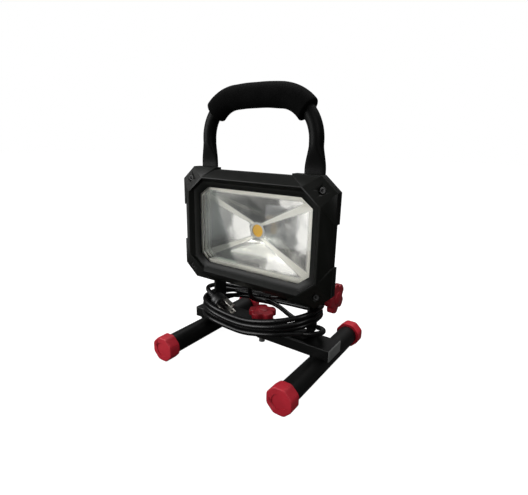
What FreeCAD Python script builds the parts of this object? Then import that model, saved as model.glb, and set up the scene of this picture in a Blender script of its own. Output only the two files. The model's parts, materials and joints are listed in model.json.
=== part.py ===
import FreeCAD, Part
import math
import os

# Work light on a swivel stand. Millimetres, +Z up, the lamp faces -Y.
# The origin is on the floor, below the middle of the stand.

Vec = FreeCAD.Vector
X = Vec(1, 0, 0)
Y = Vec(0, 1, 0)
Z = Vec(0, 0, 1)

# ---------------------------------------------------------------- clearances
PUSH_FIT = 0.05        # pushed together by hand or press
RUNNING_FIT = 0.06     # a shaft that turns in its hole
DROP_IN = 0.4          # a flat piece lying in its pocket
BOLT_HOLE = 0.4        # radial room round a screw

# ---------------------------------------------------------------- stand
FOOT_SPACING = 174.7   # between the axes of the two foot tubes
FOOT_LENGTH = 193.0    # over the end caps
TUBE_OD = 25.4
TUBE_WALL = 1.5
CAP_ACROSS = 31.2      # across the flats of a foot cap
CAP_LENGTH = 15.0
CAP_END = 2.6          # thickness of the cap's closed end
CAP_DISC = 18.0        # round recess in the cap's face
CAP_DISC_DEPTH = 0.8
BAR_LENGTH = 210.0     # over the end plugs
BAR_DEPTH = 32.0
BAR_HEIGHT = 14.3
BAR_WALL = 1.6
BAR_SADDLE = 0.9       # how far the tubes sit into the bar's underside
PLUG_FLANGE = 1.4
PLUG_REACH = 9.0
PLUG_WALL = 1.8
WELD_SIZE = 3.2

# ---------------------------------------------------------------- swivel
STUD_R = 4.0
STUD_BELOW_NUT = 6.4
NUT_ACROSS = 13.0
NUT_HEIGHT = 6.5
SLEEVE_R = 7.5
PAD_R = 15.5
PAD_THICK = 1.0
WASHER_R = 11.0
WASHER_THICK = 1.5

# ---------------------------------------------------------------- knobs (all three are alike)
KNOB_R = 18.0
KNOB_LOBE_R = 5.9
KNOB_LOBES = 5
KNOB_HOLLOW_R = 12.5
KNOB_LOBE_HEIGHT = 8.5
KNOB_SKIRT_R = 10.5
KNOB_SKIRT_HEIGHT = 4.3
KNOB_DOME_R = 8.0
KNOB_DOME_HEIGHT = 2.5
INSERT_R = 6.5
INSERT_LENGTH = 9.5
BASE_KNOB_TURN = -20.0
TILT_KNOB_TURN = -18.0

# ---------------------------------------------------------------- yoke
YOKE_WIDTH = 22.0
YOKE_THICK = 3.0
YOKE_SPAN = 148.0      # over the outer faces of its arms
YOKE_BEND = 7.0        # inside radius of its corners
PIVOT_Z = 102.0
PIVOT_Y = 0.0

# ---------------------------------------------------------------- tilt pivot, outwards from the arm
DISC_THICK = 2.0
DISC_R = 12.0
LUG_THICK = 13.0
LUG_R = 12.0
LUG_RISE = 34.0
LUG_BACK = math.radians(35)    # where the gusset's edges leave the nose, above and below level
LUG_FRONT = math.radians(108)
BOLT_HEAD_R = 9.0
BOLT_HEAD_HEIGHT = 4.0
BOLT_NECK = 4.2        # half width of the square neck

# ---------------------------------------------------------------- lamp head
HEAD_Z = 168.5         # height of its middle
RIM_HALF_X = 106.9
RIM_HALF_Z = 72.7
RIM_CUT_X = 18.6
RIM_CUT_Z = 16.3
RIM_Y = -29.3          # outer edge of the bevel
RIDGE_Y = -37.0
RIDGE_HALF_X = 93.0
RIDGE_HALF_Z = 60.7
RIDGE_CUT_X = 23.0
RIDGE_CUT_Z = 19.0
RIDGE_FLAT = 1.2
LIP_OUT = 5.4          # stepped ring inside the ridge
LIP_Y = -32.4
LIP_STEP = 1.1
OPEN_HALF_X = 80.2
OPEN_HALF_Z = 48.5
OPEN_CUT_X = 14.2
OPEN_CUT_Z = 10.8
OPEN_LAND = 0.6        # straight land round the opening
PART_Y = -26.0         # where bezel and rear housing meet
SEAL_THICK = 0.8
BAND_BACK_Y = -18.3
RECESS = 2.5           # the middles of the sides lie this much inside the corners
RECESS_HALF_X = 53.6
RECESS_HALF_Z = 23.3
BEZEL_WALL = 2.6
BEZEL_BOSS_R = 5.0
SCREW_IN_X = 15.4      # the bezel's screws, in from the rim
SCREW_IN_Z = 14.7
SCREW_R = 2.0
SCREW_HEAD_R = 3.9
SCREW_HEAD_HEIGHT = 2.4
SCREW_LENGTH = 12.0
SCREW_SEAT_Y = -29.6

BOX_HALF_X = 83.0
BOX_HALF_Z = 51.0
BOX_CUT = 9.0
BOX_WALL = 3.0
BOX_BACK_Y = 12.0
FIN_HEIGHT = 8.0
FIN_THICK = 2.2
FIN_PITCH = 9.0
FIN_END = 5.0

# ---------------------------------------------------------------- optics and electrics
GLASS_THICK = 3.0
GLASS_LAP = 4.8        # how far the glass reaches past the opening
GASKET_WIDTH = 3.1
GASKET_THICK = 2.0
FLANGE_THICK = 1.2
FLANGE_LAP = 1.3
DISH_HALF_X = 78.0
DISH_HALF_Z = 45.0
DISH_CUT = 9.0
DISH_WALL = 1.2
HUB_HALF = 13.0
HUB_CUT = 5.0
HUB_Y = -15.2
HUB_HOLE_R = 10.4
RING_R = 10.0
LED_R = 7.8
LED_THICK = 0.9
LED_BOARD_HALF = 15.0
LED_BOARD_THICK = 1.6
LED_BOARD_Y = -12.6
LED_SCREW_AT = 11.6
SPREADER_HALF_X = 74.0
SPREADER_HALF_Z = 42.0
SPREADER_THICK = 3.0
POST_R = 4.5
POST_AT_X = 66.0
POST_AT_Z = 36.0
DRIVER_HALF_X = 40.0
DRIVER_LOW_Z = 128.0
DRIVER_HIGH_Z = 172.0
DRIVER_THICK = 1.6
DRIVER_POST = 4.0
LED_SCREW_R = 1.2
LED_SCREW_HEAD_R = 2.2
LED_SCREW_HEAD = 1.1
POST_SCREW_R = 1.6
POST_SCREW_HEAD_R = 3.0
POST_SCREW_HEAD = 1.8
POST_SCREW_LENGTH = 10.0
WIRE_R = 0.6
DRIVER_SCREW_R = 1.2
DRIVER_SCREW_HEAD_R = 2.3
DRIVER_SCREW_HEAD = 1.4
TRANSFORMER_HALF = 12.0
TRANSFORMER_HEIGHT = 22.0
CAPACITOR_LENGTH = 20.0
INDUCTOR_R = 6.0
PART_ABOVE_EDGE = 6.0    # from the board's lower edge to its parts
SWITCH_Z = 192.0
SWITCH_HALF_X = 13.5
SWITCH_HALF_Z = 9.5
SWITCH_FLANGE = 2.4
SWITCH_DEPTH = 15.0
SWITCH_PAD = 4.0
ROCKER_HALF_X = 10.5
ROCKER_HALF_Z = 6.6
ROCKER_TILT = 8.0
ROCKER_AXLE_R = 1.2

# ---------------------------------------------------------------- handle
HANDLE_R = 8.0
HANDLE_WALL = 1.3
HANDLE_HALF_SPAN = 73.5
HANDLE_TOP_Z = 318.0
HANDLE_ARCH = 5.0
HANDLE_ARCH_BEND = 400.0
HANDLE_BEND = 46.0
FLAT_HALF_WIDTH = 12.4
FLAT_THICK = 4.0
FLAT_END_Z = 220.5
FLAT_TOP_Z = 245.0
FLAT_SQUARENESS = 4.0    # 2 is an ellipse, more is nearer a rectangle
FLAT_END_CLEAR = 0.6     # the end's corner radius is this much more than half the strip's width
LEG_POINTS = 24
LEG_STEPS = 6
LEG_INSET = 0.12         # the leg's neck is this much inside the tube's surface
LEG_LAP = 1.0            # and runs this far up into it
ROUND_Z = 271.0
HANDLE_SCREW_Z = 233.0
HANDLE_SCREW_DEPTH = 6.5
HANDLE_SCREW_R = 3.0
HANDLE_PAD = 0.5
HANDLE_WASHER_R = 7.0
HANDLE_WASHER = 1.2
HANDLE_HEAD = 4.0
HANDLE_HEAD_ACROSS = 10.0
GRIP_R = 13.0
GRIP_DROP = 11.5        # how far the foam's ends hang below the top tube's axis

# ---------------------------------------------------------------- cord
CORD_D = 6.2
CORD_INSIDE = 9.5       # how far the cord reaches into the head
GLAND_X = -20.0
GLAND_Y = -2.0
GLAND_THREAD_R = 7.5
GLAND_NUT_R = 10.0
GLAND_NUT_HEIGHT = 9.0
RELIEF_TOP_R = 6.6
RELIEF_END_R = 4.2
RELIEF_LENGTH = 20.0
LEAD_POINTS = [
    (-20.0, -2.0, 88.5),
    (-20.0, -2.0, 77.0),
    (-18.2, 4.0, 68.6),
    (-11.0, 14.8, 64.4),
    (1.0, 21.6, 62.3),
    (14.0, 22.0, 58.6),
    (28.0, 21.0, 52.4),
    (42.0, 20.6, 48.2),
    (56.0, 20.6, 46.8),
    (69.0, 19.5, 48.0),
    (81.5, 12.5, 51.5),
    (89.0, -0.5, 55.5),
    (88.8, -13.5, 58.5),
    (83.5, -23.0, 60.0),
    (76.0, -28.2, 60.6),
]
COIL_X = -1.0
COIL_Y = -3.0
COIL_HALF_X = 81.3
COIL_HALF_Y = 40.0
COIL_BACK_HALF_Y = 34.0
COIL_SQUARENESS = 3.1
COIL_LEFT_SQUARENESS = 3.4
COIL_RIGHT_SQUARENESS = 2.4
COIL_STATIONS = 48
COIL_FRONT_Z = 53.0
COIL_BACK_Z = 66.0
COIL_LEFT_Z = 54.5
COIL_RIGHT_Z = 73.5
COIL_NEST = 9.9         # half the height of the four turns where they nest in front
COIL_STACK = 12.8       # and where they stand one on another at the right
COIL_FEED = 24.5        # from the left turns' middle up over the cord that feeds the plug
COIL_BACK_BELOW = 6.6
COIL_BACK_ABOVE = 12.8
COIL_BACK_SPREAD = 6.5    # the turns lie two by two there, with the fold outside them
COIL_BACK_OUT = 3.4
PLUG_FACE = Vec(-49.0, -23.5, 62.2)
PLUG_HEADING = Vec(0.93, -0.27, -0.25).normalize()
PLUG_TO_BLADES = Vec(0.40, 0.86, 0.30)
PLUG_R = 11.5
PLUG_LENGTH = 15.0
PLUG_ROUND = 2.0
PLUG_SHOULDER_R = 7.0
PLUG_NECK_R = 4.4
PLUG_NECK_LENGTH = 16.0
PIN_SPACING = 12.7
PIN_OFFSET = 11.9
BLADE_WIDTH = 6.35
BLADE_THICK = 1.5
BLADE_LENGTH = 17.5
GROUND_R = 2.4
GROUND_LENGTH = 21.0

# ---------------------------------------------------------------- worked out from the above
FOOT_X = FOOT_SPACING / 2
FOOT_Z = CAP_ACROSS / 2
TUBE_R = TUBE_OD / 2
BAR_Z = FOOT_Z + TUBE_R - BAR_SADDLE
BAR_TOP = BAR_Z + BAR_HEIGHT
YOKE_Z = BAR_TOP + PAD_THICK
YOKE_TOP = YOKE_Z + YOKE_THICK
NUT_Z = BAR_Z - NUT_HEIGHT
ARM_OUT = YOKE_SPAN / 2
ARM_IN = ARM_OUT - YOKE_THICK
LUG_IN = ARM_OUT + DISC_THICK
LUG_OUT = LUG_IN + LUG_THICK
KNOB_OUT = LUG_OUT + WASHER_THICK
GLASS_Y = RIM_Y + OPEN_LAND
GLASS_BACK_Y = GLASS_Y + GLASS_THICK
FLANGE_BACK_Y = GLASS_BACK_Y + FLANGE_THICK
GASKET_BACK_Y = GLASS_BACK_Y + GASKET_THICK
BOX_IN_Y = BOX_BACK_Y - BOX_WALL
FIN_TIP_Y = BOX_BACK_Y + FIN_HEIGHT
BOX_LOW_Z = HEAD_Z - BOX_HALF_Z
RIM_LOW_Z = HEAD_Z - RIM_HALF_Z
SPREADER_Y = LED_BOARD_Y + LED_BOARD_THICK
SPREADER_BACK_Y = SPREADER_Y + SPREADER_THICK
DRIVER_Y = BOX_IN_Y - DRIVER_POST - DRIVER_THICK
DRIVER_SCREW_LENGTH = DRIVER_THICK + DRIVER_POST * 0.8
HANDLE_Y = BAND_BACK_Y + HANDLE_PAD + FLAT_THICK / 2

HANDLE_BENDS = [HANDLE_BEND, HANDLE_ARCH_BEND, HANDLE_BEND]

nodes = {}


# ---------------------------------------------------------------- helpers
def block(x0, x1, y0, y1, z0, z1):
    return Part.makeBox(x1 - x0, y1 - y0, z1 - z0, Vec(x0, y0, z0))


def rod(radius, length, base, axis):
    return Part.makeCylinder(radius, length, Vec(*base), axis)


def taper(radius_0, radius_1, length, base, axis):
    return Part.makeCone(radius_0, radius_1, length, Vec(*base), axis)


def polygon(points):
    corners = [Vec(*p) for p in points]
    return Part.makePolygon(corners + corners[:1])


def prism(points, along):
    return Part.Face(polygon(points)).extrude(along)


def hexagon(across, height, base, axis):
    corner_r = across / math.sqrt(3)
    points = []
    for i in range(6):
        angle = math.radians(60 * i)
        points.append((corner_r * math.cos(angle), corner_r * math.sin(angle), 0))
    shape = prism(points, Vec(0, 0, height))
    shape.Placement = FreeCAD.Placement(Vec(*base), FreeCAD.Rotation(Z, axis))
    return shape


def octagon(half_x, half_z, cut_x, cut_z, y):
    """An eight-sided outline round the middle of the lamp's face, in the plane at y."""
    quarter = [(half_x, half_z - cut_z), (half_x - cut_x, half_z)]
    points = []
    for sx, sz, order in ((1, 1, 1), (-1, 1, -1), (-1, -1, 1), (1, -1, -1)):
        for px, pz in quarter[::order]:
            points.append((sx * px, y, HEAD_Z + sz * pz))
    return polygon(points)


def between(outline_0, outline_1):
    return Part.makeLoft([outline_0, outline_1], True, True)


def octagon_slab(half_x, half_z, cut_x, cut_z, y0, y1):
    return between(octagon(half_x, half_z, cut_x, cut_z, y0), octagon(half_x, half_z, cut_x, cut_z, y1))


def mirrored(shape):
    return shape.mirror(Vec(0, 0, 0), X)


def group(shapes):
    return Part.makeCompound(shapes)


def swept(points, radius, bends):
    """A round bar along straight runs joined by tangent arcs, one bend radius for each inner point."""
    corners = [Vec(*p) for p in points]
    edges = []
    start = corners[0]
    for i in range(1, len(corners) - 1):
        here = corners[i]
        into = (here - corners[i - 1]).normalize()
        out = (corners[i + 1] - here).normalize()
        half_turn = into.getAngle(out) / 2
        setback = bends[i - 1] * math.tan(half_turn)
        first = here - into * setback
        last = here + out * setback
        inward = (out - into).normalize()
        middle = here + inward * (bends[i - 1] / math.cos(half_turn) - bends[i - 1])
        edges.append(Part.LineSegment(start, first).toShape())
        edges.append(Part.Arc(first, middle, last).toShape())
        start = last
    edges.append(Part.LineSegment(start, corners[-1]).toShape())
    path = Part.Wire(edges)
    heading = corners[1] - corners[0]
    profile = Part.Wire(Part.makeCircle(radius, corners[0], heading))
    return path.makePipeShell([profile], True, True), path.Length


def knob(bolt_r, bolt_depth, insert_length):
    """The five-lobed knob standing on z = 0 about the Z axis, and its metal insert."""
    lobe_at = KNOB_R - KNOB_LOBE_R
    body = rod(KNOB_SKIRT_R, KNOB_SKIRT_HEIGHT + KNOB_LOBE_HEIGHT, (0, 0, 0), Z)
    body = body.fuse(rod(KNOB_HOLLOW_R, KNOB_LOBE_HEIGHT, (0, 0, KNOB_SKIRT_HEIGHT), Z))
    for number in range(KNOB_LOBES):
        lobe = rod(KNOB_LOBE_R, KNOB_LOBE_HEIGHT, (lobe_at, 0, KNOB_SKIRT_HEIGHT), Z)
        web = block(0, lobe_at, -KNOB_LOBE_R, KNOB_LOBE_R, KNOB_SKIRT_HEIGHT, KNOB_SKIRT_HEIGHT + KNOB_LOBE_HEIGHT)
        arm = lobe.fuse(web)
        arm.rotate(Vec(0, 0, 0), Z, 360 / KNOB_LOBES * number)
        body = body.fuse(arm)
    top = KNOB_SKIRT_HEIGHT + KNOB_LOBE_HEIGHT
    dome_r = (KNOB_DOME_R ** 2 + KNOB_DOME_HEIGHT ** 2) / (2 * KNOB_DOME_HEIGHT)
    ball = Part.makeSphere(dome_r, Vec(0, 0, top + KNOB_DOME_HEIGHT - dome_r))
    dome = ball.common(rod(KNOB_DOME_R, KNOB_DOME_HEIGHT, (0, 0, top), Z))
    body = body.fuse(dome).removeSplitter()
    body = body.cut(rod(INSERT_R, insert_length, (0, 0, 0), Z))
    if bolt_depth > insert_length:
        body = body.cut(rod(bolt_r + BOLT_HOLE, bolt_depth, (0, 0, 0), Z))
    insert = rod(INSERT_R, insert_length, (0, 0, 0), Z)
    insert = insert.cut(rod(bolt_r + RUNNING_FIT, insert_length, (0, 0, 0), Z))
    return body, insert


def stand_on(shape, base, axis, turn):
    """Turns a shape about its own Z axis, then stands it at base along axis."""
    placed = shape.copy()
    placed.rotate(Vec(0, 0, 0), Z, turn)
    upright = FreeCAD.Placement(Vec(*base), FreeCAD.Rotation(Z, axis))
    placed.Placement = upright.multiply(placed.Placement)
    return placed


# ---------------------------------------------------------------- stand
def foot_tube(x):
    length = FOOT_LENGTH - 2 * CAP_END
    start = (x, -length / 2, FOOT_Z)
    return rod(TUBE_R, length, start, Y).cut(rod(TUBE_R - TUBE_WALL, length, start, Y))


def foot_cap(x, side):
    """A cap over a tube end; side is -1 at the front and +1 at the rear."""
    corner_r = CAP_ACROSS / 2 / math.cos(math.radians(22.5))
    points = []
    for i in range(8):
        angle = math.radians(22.5 + 45 * i)
        points.append((x + corner_r * math.cos(angle), 0, FOOT_Z + corner_r * math.sin(angle)))
    body = prism(points, Vec(0, CAP_LENGTH, 0))
    edges = [e for e in body.Edges if abs(e.Length - CAP_LENGTH) < 1e-6]
    body = body.makeFillet(CAP_ACROSS * 0.22, edges)
    face_edges = [e for e in body.Edges if e.BoundBox.YMax < 1e-6]
    body = body.makeFillet(CAP_END * 0.45, face_edges)
    body = body.cut(rod(TUBE_R + PUSH_FIT, CAP_LENGTH, (x, CAP_END, FOOT_Z), Y))
    body = body.cut(rod(CAP_DISC / 2, CAP_DISC_DEPTH, (x, 0, FOOT_Z), Y))
    body.translate(Vec(0, -FOOT_LENGTH / 2, 0))
    if side > 0:
        body = body.mirror(Vec(0, 0, 0), Y)
    return body


for name, x in (("left", -FOOT_X), ("right", FOOT_X)):
    nodes["foot_tube_" + name] = foot_tube(x)
    nodes["foot_cap_front_" + name] = foot_cap(x, -1)
    nodes["foot_cap_rear_" + name] = foot_cap(x, 1)

bar_half = BAR_LENGTH / 2 - PLUG_FLANGE
half_depth = BAR_DEPTH / 2
crossbar = block(-bar_half, bar_half, -half_depth, half_depth, BAR_Z, BAR_TOP)
long_edges = [e for e in crossbar.Edges if abs(e.Length - 2 * bar_half) < 1e-6]
crossbar = crossbar.makeFillet(BAR_WALL * 0.9, long_edges)
crossbar = crossbar.cut(
    block(-bar_half, bar_half, BAR_WALL - half_depth, half_depth - BAR_WALL, BAR_Z + BAR_WALL, BAR_TOP - BAR_WALL)
)
for x in (-FOOT_X, FOOT_X):
    crossbar = crossbar.cut(rod(TUBE_R + PUSH_FIT, BAR_DEPTH, (x, -half_depth, FOOT_Z), Y))
crossbar = crossbar.cut(rod(STUD_R + BOLT_HOLE, BAR_HEIGHT, (0, 0, BAR_Z), Z))
nodes["crossbar"] = crossbar


def bar_plug():
    """The plastic plug in the right end of the crossbar."""
    flange = block(bar_half, bar_half + PLUG_FLANGE, -half_depth, half_depth, BAR_Z, BAR_TOP)
    rim = [e for e in flange.Edges if e.BoundBox.XMin > bar_half + PLUG_FLANGE - 1e-6]
    flange = flange.makeChamfer(PLUG_FLANGE * 0.5, rim)
    in_y = half_depth - BAR_WALL - PUSH_FIT
    low = BAR_Z + BAR_WALL + PUSH_FIT
    high = BAR_TOP - BAR_WALL - PUSH_FIT
    inner = block(bar_half - PLUG_REACH, bar_half, -in_y, in_y, low, high)
    hollow = block(
        bar_half - PLUG_REACH, bar_half, PLUG_WALL - in_y, in_y - PLUG_WALL, low + PLUG_WALL, high - PLUG_WALL
    )
    return flange.fuse(inner.cut(hollow))


nodes["crossbar_plug_right"] = bar_plug()
nodes["crossbar_plug_left"] = mirrored(bar_plug())


def weld_bead(x, side):
    """One fillet weld in the corner between a foot tube and the underside of the bar."""
    drop = BAR_Z - FOOT_Z
    touch = math.sqrt(TUBE_R ** 2 - drop ** 2)
    reach = touch + WELD_SIZE
    low = math.sqrt(TUBE_R ** 2 - (touch + WELD_SIZE * 0.6) ** 2)
    points = [
        (x + side * touch * 0.9, -half_depth, BAR_Z),
        (x + side * reach, -half_depth, BAR_Z),
        (x + side * (touch + WELD_SIZE * 0.6), -half_depth, FOOT_Z + low),
    ]
    bead = prism(points, Vec(0, BAR_DEPTH, 0))
    return bead.cut(rod(TUBE_R, BAR_DEPTH, (x, -half_depth, FOOT_Z), Y))


nodes["foot_welds"] = group([weld_bead(x, s) for x in (-FOOT_X, FOOT_X) for s in (-1, 1)])

sleeve_height = BAR_HEIGHT - 2 * BAR_WALL
sleeve_base = (0, 0, BAR_Z + BAR_WALL)
sleeve = rod(SLEEVE_R, sleeve_height, sleeve_base, Z)
nodes["crush_sleeve"] = sleeve.cut(rod(STUD_R + BOLT_HOLE, sleeve_height, sleeve_base, Z))

nut = hexagon(NUT_ACROSS, NUT_HEIGHT, (0, 0, NUT_Z), Z)
nodes["swivel_nut"] = nut.cut(rod(STUD_R + RUNNING_FIT, NUT_HEIGHT, (0, 0, NUT_Z), Z))

pad = rod(PAD_R, PAD_THICK, (0, 0, BAR_TOP), Z)
nodes["swivel_pad"] = pad.cut(rod(STUD_R + BOLT_HOLE, PAD_THICK, (0, 0, BAR_TOP), Z))


# ---------------------------------------------------------------- yoke
def yoke():
    """A flat strap bent into a U, with round arm ends and square holes for the bolt necks."""
    outer_bend = YOKE_BEND + YOKE_THICK
    half = YOKE_WIDTH / 2
    outside = block(-ARM_OUT, ARM_OUT, -half, half, YOKE_Z, PIVOT_Z)
    low_edges = [e for e in outside.Edges if e.BoundBox.ZMax < YOKE_Z + 1e-6 and abs(e.Length - YOKE_WIDTH) < 1e-6]
    outside = outside.makeFillet(outer_bend, low_edges)
    inside = block(-ARM_IN, ARM_IN, -half, half, YOKE_TOP, PIVOT_Z + 1)
    low_edges = [e for e in inside.Edges if e.BoundBox.ZMax < YOKE_TOP + 1e-6 and abs(e.Length - YOKE_WIDTH) < 1e-6]
    inside = inside.makeFillet(YOKE_BEND, low_edges)
    strap = outside.cut(inside)
    for side in (-1, 1):
        end = rod(half, YOKE_THICK, (side * ARM_OUT, PIVOT_Y, PIVOT_Z), X * -side)
        strap = strap.fuse(end)
        neck = BOLT_NECK + PUSH_FIT
        hole = block(-ARM_OUT, ARM_OUT, -neck, neck, PIVOT_Z - neck, PIVOT_Z + neck)
        strap = strap.cut(hole)
    strap = strap.cut(rod(STUD_R + BOLT_HOLE, YOKE_THICK, (0, 0, YOKE_Z), Z))
    return strap.removeSplitter()


nodes["yoke"] = yoke()

# ---------------------------------------------------------------- base knob and stud
knob_base = YOKE_TOP + WASHER_THICK
base_knob, _ = knob(STUD_R, INSERT_LENGTH, INSERT_LENGTH)
nodes["base_knob"] = stand_on(base_knob, (0, 0, knob_base), Z, BASE_KNOB_TURN)
stud_end = NUT_Z - STUD_BELOW_NUT
stud = rod(STUD_R, knob_base - stud_end, (0, 0, stud_end), Z)
nodes["base_stud"] = stud.fuse(rod(INSERT_R, INSERT_LENGTH, (0, 0, knob_base), Z))
washer = rod(WASHER_R, WASHER_THICK, (0, 0, YOKE_TOP), Z)
nodes["base_washer"] = washer.cut(rod(STUD_R + PUSH_FIT, WASHER_THICK, (0, 0, YOKE_TOP), Z))


# ---------------------------------------------------------------- tilt knobs, bolts, discs and washers
bolt_tip = KNOB_OUT + INSERT_LENGTH + 1.0
tilt_knob, tilt_insert = knob(STUD_R, bolt_tip - KNOB_OUT, INSERT_LENGTH)


def tilt_bolt():
    """The right-hand coach bolt: round head inside the arm, square neck, plain shank."""
    head = taper(BOLT_HEAD_R * 0.6, BOLT_HEAD_R, BOLT_HEAD_HEIGHT, (ARM_IN - BOLT_HEAD_HEIGHT, PIVOT_Y, PIVOT_Z), X)
    neck = block(ARM_IN, ARM_OUT, -BOLT_NECK, BOLT_NECK, PIVOT_Z - BOLT_NECK, PIVOT_Z + BOLT_NECK)
    shank = rod(STUD_R, bolt_tip - ARM_OUT, (ARM_OUT, PIVOT_Y, PIVOT_Z), X)
    return head.fuse([neck, shank])


def bored_disc(radius, thickness, x, hole_r):
    disc = rod(radius, thickness, (x, PIVOT_Y, PIVOT_Z), X)
    return disc.cut(rod(hole_r, thickness, (x, PIVOT_Y, PIVOT_Z), X))


friction_disc = bored_disc(DISC_R, DISC_THICK, ARM_OUT, STUD_R + PUSH_FIT)
tilt_washer = bored_disc(WASHER_R, WASHER_THICK, LUG_OUT, STUD_R + RUNNING_FIT)
nodes["tilt_bolts"] = group([tilt_bolt(), mirrored(tilt_bolt())])
nodes["friction_discs"] = group([friction_disc, mirrored(friction_disc)])
for name, side in (("left", -1), ("right", 1)):
    seat = (side * KNOB_OUT, PIVOT_Y, PIVOT_Z)
    nodes["tilt_knob_" + name] = stand_on(tilt_knob, seat, X * side, side * TILT_KNOB_TURN)
    nodes["knob_insert_" + name] = stand_on(tilt_insert, seat, X * side, 0)
nodes["tilt_washer_right"] = tilt_washer
nodes["tilt_washer_left"] = mirrored(tilt_washer)


# ---------------------------------------------------------------- lamp head: shared outlines
def recess_cuts(y0, y1):
    """Blocks that sink the middles of the four sides below the corners, from y0 to y1."""
    far = RIM_HALF_X + RIM_HALF_Z
    cuts = []
    for side in (-1, 1):
        low = HEAD_Z + side * (RIM_HALF_Z - RECESS)
        high = HEAD_Z + side * far
        cuts.append(block(-RECESS_HALF_X, RECESS_HALF_X, y0, y1, min(low, high), max(low, high)))
        near = side * (RIM_HALF_X - RECESS)
        out = side * far
        cuts.append(
            block(min(near, out), max(near, out), y0, y1, HEAD_Z - RECESS_HALF_Z, HEAD_Z + RECESS_HALF_Z)
        )
    return cuts


def recess_wedges():
    """The same on the bevel: each wedge starts at the recess and runs out at the ridge's corners."""
    ridge_x = RIDGE_HALF_X - RIDGE_CUT_X
    ridge_z = RIDGE_HALF_Z - RIDGE_CUT_Z
    over = 12.0
    wedges = []
    for side in (-1, 1):
        z_rim = HEAD_Z + side * (RIM_HALF_Z - RECESS)
        z_ridge = HEAD_Z + side * RIDGE_HALF_Z
        lift = side * over
        wedges.append(between(
            polygon([(-RECESS_HALF_X, RIM_Y, z_rim), (RECESS_HALF_X, RIM_Y, z_rim),
                     (RECESS_HALF_X, RIM_Y, z_rim + lift), (-RECESS_HALF_X, RIM_Y, z_rim + lift)]),
            polygon([(-ridge_x, RIDGE_Y, z_ridge), (ridge_x, RIDGE_Y, z_ridge),
                     (ridge_x, RIDGE_Y, z_ridge + lift), (-ridge_x, RIDGE_Y, z_ridge + lift)])))
        x_rim = side * (RIM_HALF_X - RECESS)
        x_ridge = side * RIDGE_HALF_X
        wedges.append(between(
            polygon([(x_rim, RIM_Y, HEAD_Z - RECESS_HALF_Z), (x_rim, RIM_Y, HEAD_Z + RECESS_HALF_Z),
                     (x_rim + lift, RIM_Y, HEAD_Z + RECESS_HALF_Z), (x_rim + lift, RIM_Y, HEAD_Z - RECESS_HALF_Z)]),
            polygon([(x_ridge, RIDGE_Y, HEAD_Z - ridge_z), (x_ridge, RIDGE_Y, HEAD_Z + ridge_z),
                     (x_ridge + lift, RIDGE_Y, HEAD_Z + ridge_z), (x_ridge + lift, RIDGE_Y, HEAD_Z - ridge_z)])))
    return wedges


def rim(inset, y):
    return octagon(RIM_HALF_X - inset, RIM_HALF_Z - inset, RIM_CUT_X, RIM_CUT_Z, y)


def ridge(inset, y):
    return octagon(RIDGE_HALF_X - inset, RIDGE_HALF_Z - inset, RIDGE_CUT_X, RIDGE_CUT_Z, y)


def opening(outset, y):
    return octagon(OPEN_HALF_X + outset, OPEN_HALF_Z + outset, OPEN_CUT_X, OPEN_CUT_Z, y)


screw_x = RIM_HALF_X - SCREW_IN_X
screw_z = RIM_HALF_Z - SCREW_IN_Z
screw_spots = [(sx * screw_x, HEAD_Z + sz * screw_z) for sx in (-1, 1) for sz in (-1, 1)]


# ---------------------------------------------------------------- front bezel
def front_bezel():
    outer = between(rim(0, RIM_Y), ridge(0, RIDGE_Y)).fuse(between(rim(0, PART_Y), rim(0, RIM_Y)))
    outer = outer.cut(recess_wedges() + recess_cuts(RIM_Y, PART_Y))
    mouth = between(opening(LIP_OUT + LIP_STEP, LIP_Y), ridge(RIDGE_FLAT, RIDGE_Y))
    step = between(opening(0, RIM_Y), opening(LIP_OUT, LIP_Y))
    land = between(opening(0, GLASS_Y), opening(0, RIM_Y))
    pocket = between(opening(GLASS_LAP + DROP_IN, PART_Y), opening(GLASS_LAP + DROP_IN, GLASS_Y))
    body = outer.cut([mouth, step, land, pocket])
    hollow = between(rim(BEZEL_WALL, PART_Y), rim(BEZEL_WALL + RECESS, RIM_Y + BEZEL_WALL * 0.2))
    keep = between(opening(GLASS_LAP + BEZEL_WALL, PART_Y), opening(GLASS_LAP + BEZEL_WALL, RIM_Y))
    body = body.cut(hollow.cut(keep).cut(recess_lands()))
    for x, z in screw_spots:
        body = body.fuse(rod(BEZEL_BOSS_R, PART_Y - RIM_Y, (x, RIM_Y, z), Y))
    for x, z in screw_spots:
        body = body.cut(rod(SCREW_R + BOLT_HOLE, PART_Y - RIDGE_Y, (x, RIDGE_Y, z), Y))
        body = body.cut(rod(SCREW_HEAD_R + BOLT_HOLE, SCREW_SEAT_Y - RIDGE_Y, (x, RIDGE_Y, z), Y))
    return body.removeSplitter()


def recess_lands():
    """Wall left standing behind the sunk middles, so that the hollow does not break through them."""
    thick = BEZEL_WALL + RECESS
    lands = []
    for side in (-1, 1):
        z0 = HEAD_Z + side * (RIM_HALF_Z - thick)
        z1 = HEAD_Z + side * RIM_HALF_Z
        lands.append(block(-RECESS_HALF_X, RECESS_HALF_X, RIDGE_Y, PART_Y, min(z0, z1), max(z0, z1)))
        x0 = side * (RIM_HALF_X - thick)
        x1 = side * RIM_HALF_X
        lands.append(
            block(min(x0, x1), max(x0, x1), RIDGE_Y, PART_Y, HEAD_Z - RECESS_HALF_Z, HEAD_Z + RECESS_HALF_Z)
        )
    return lands


nodes["front_bezel"] = front_bezel()


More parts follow.
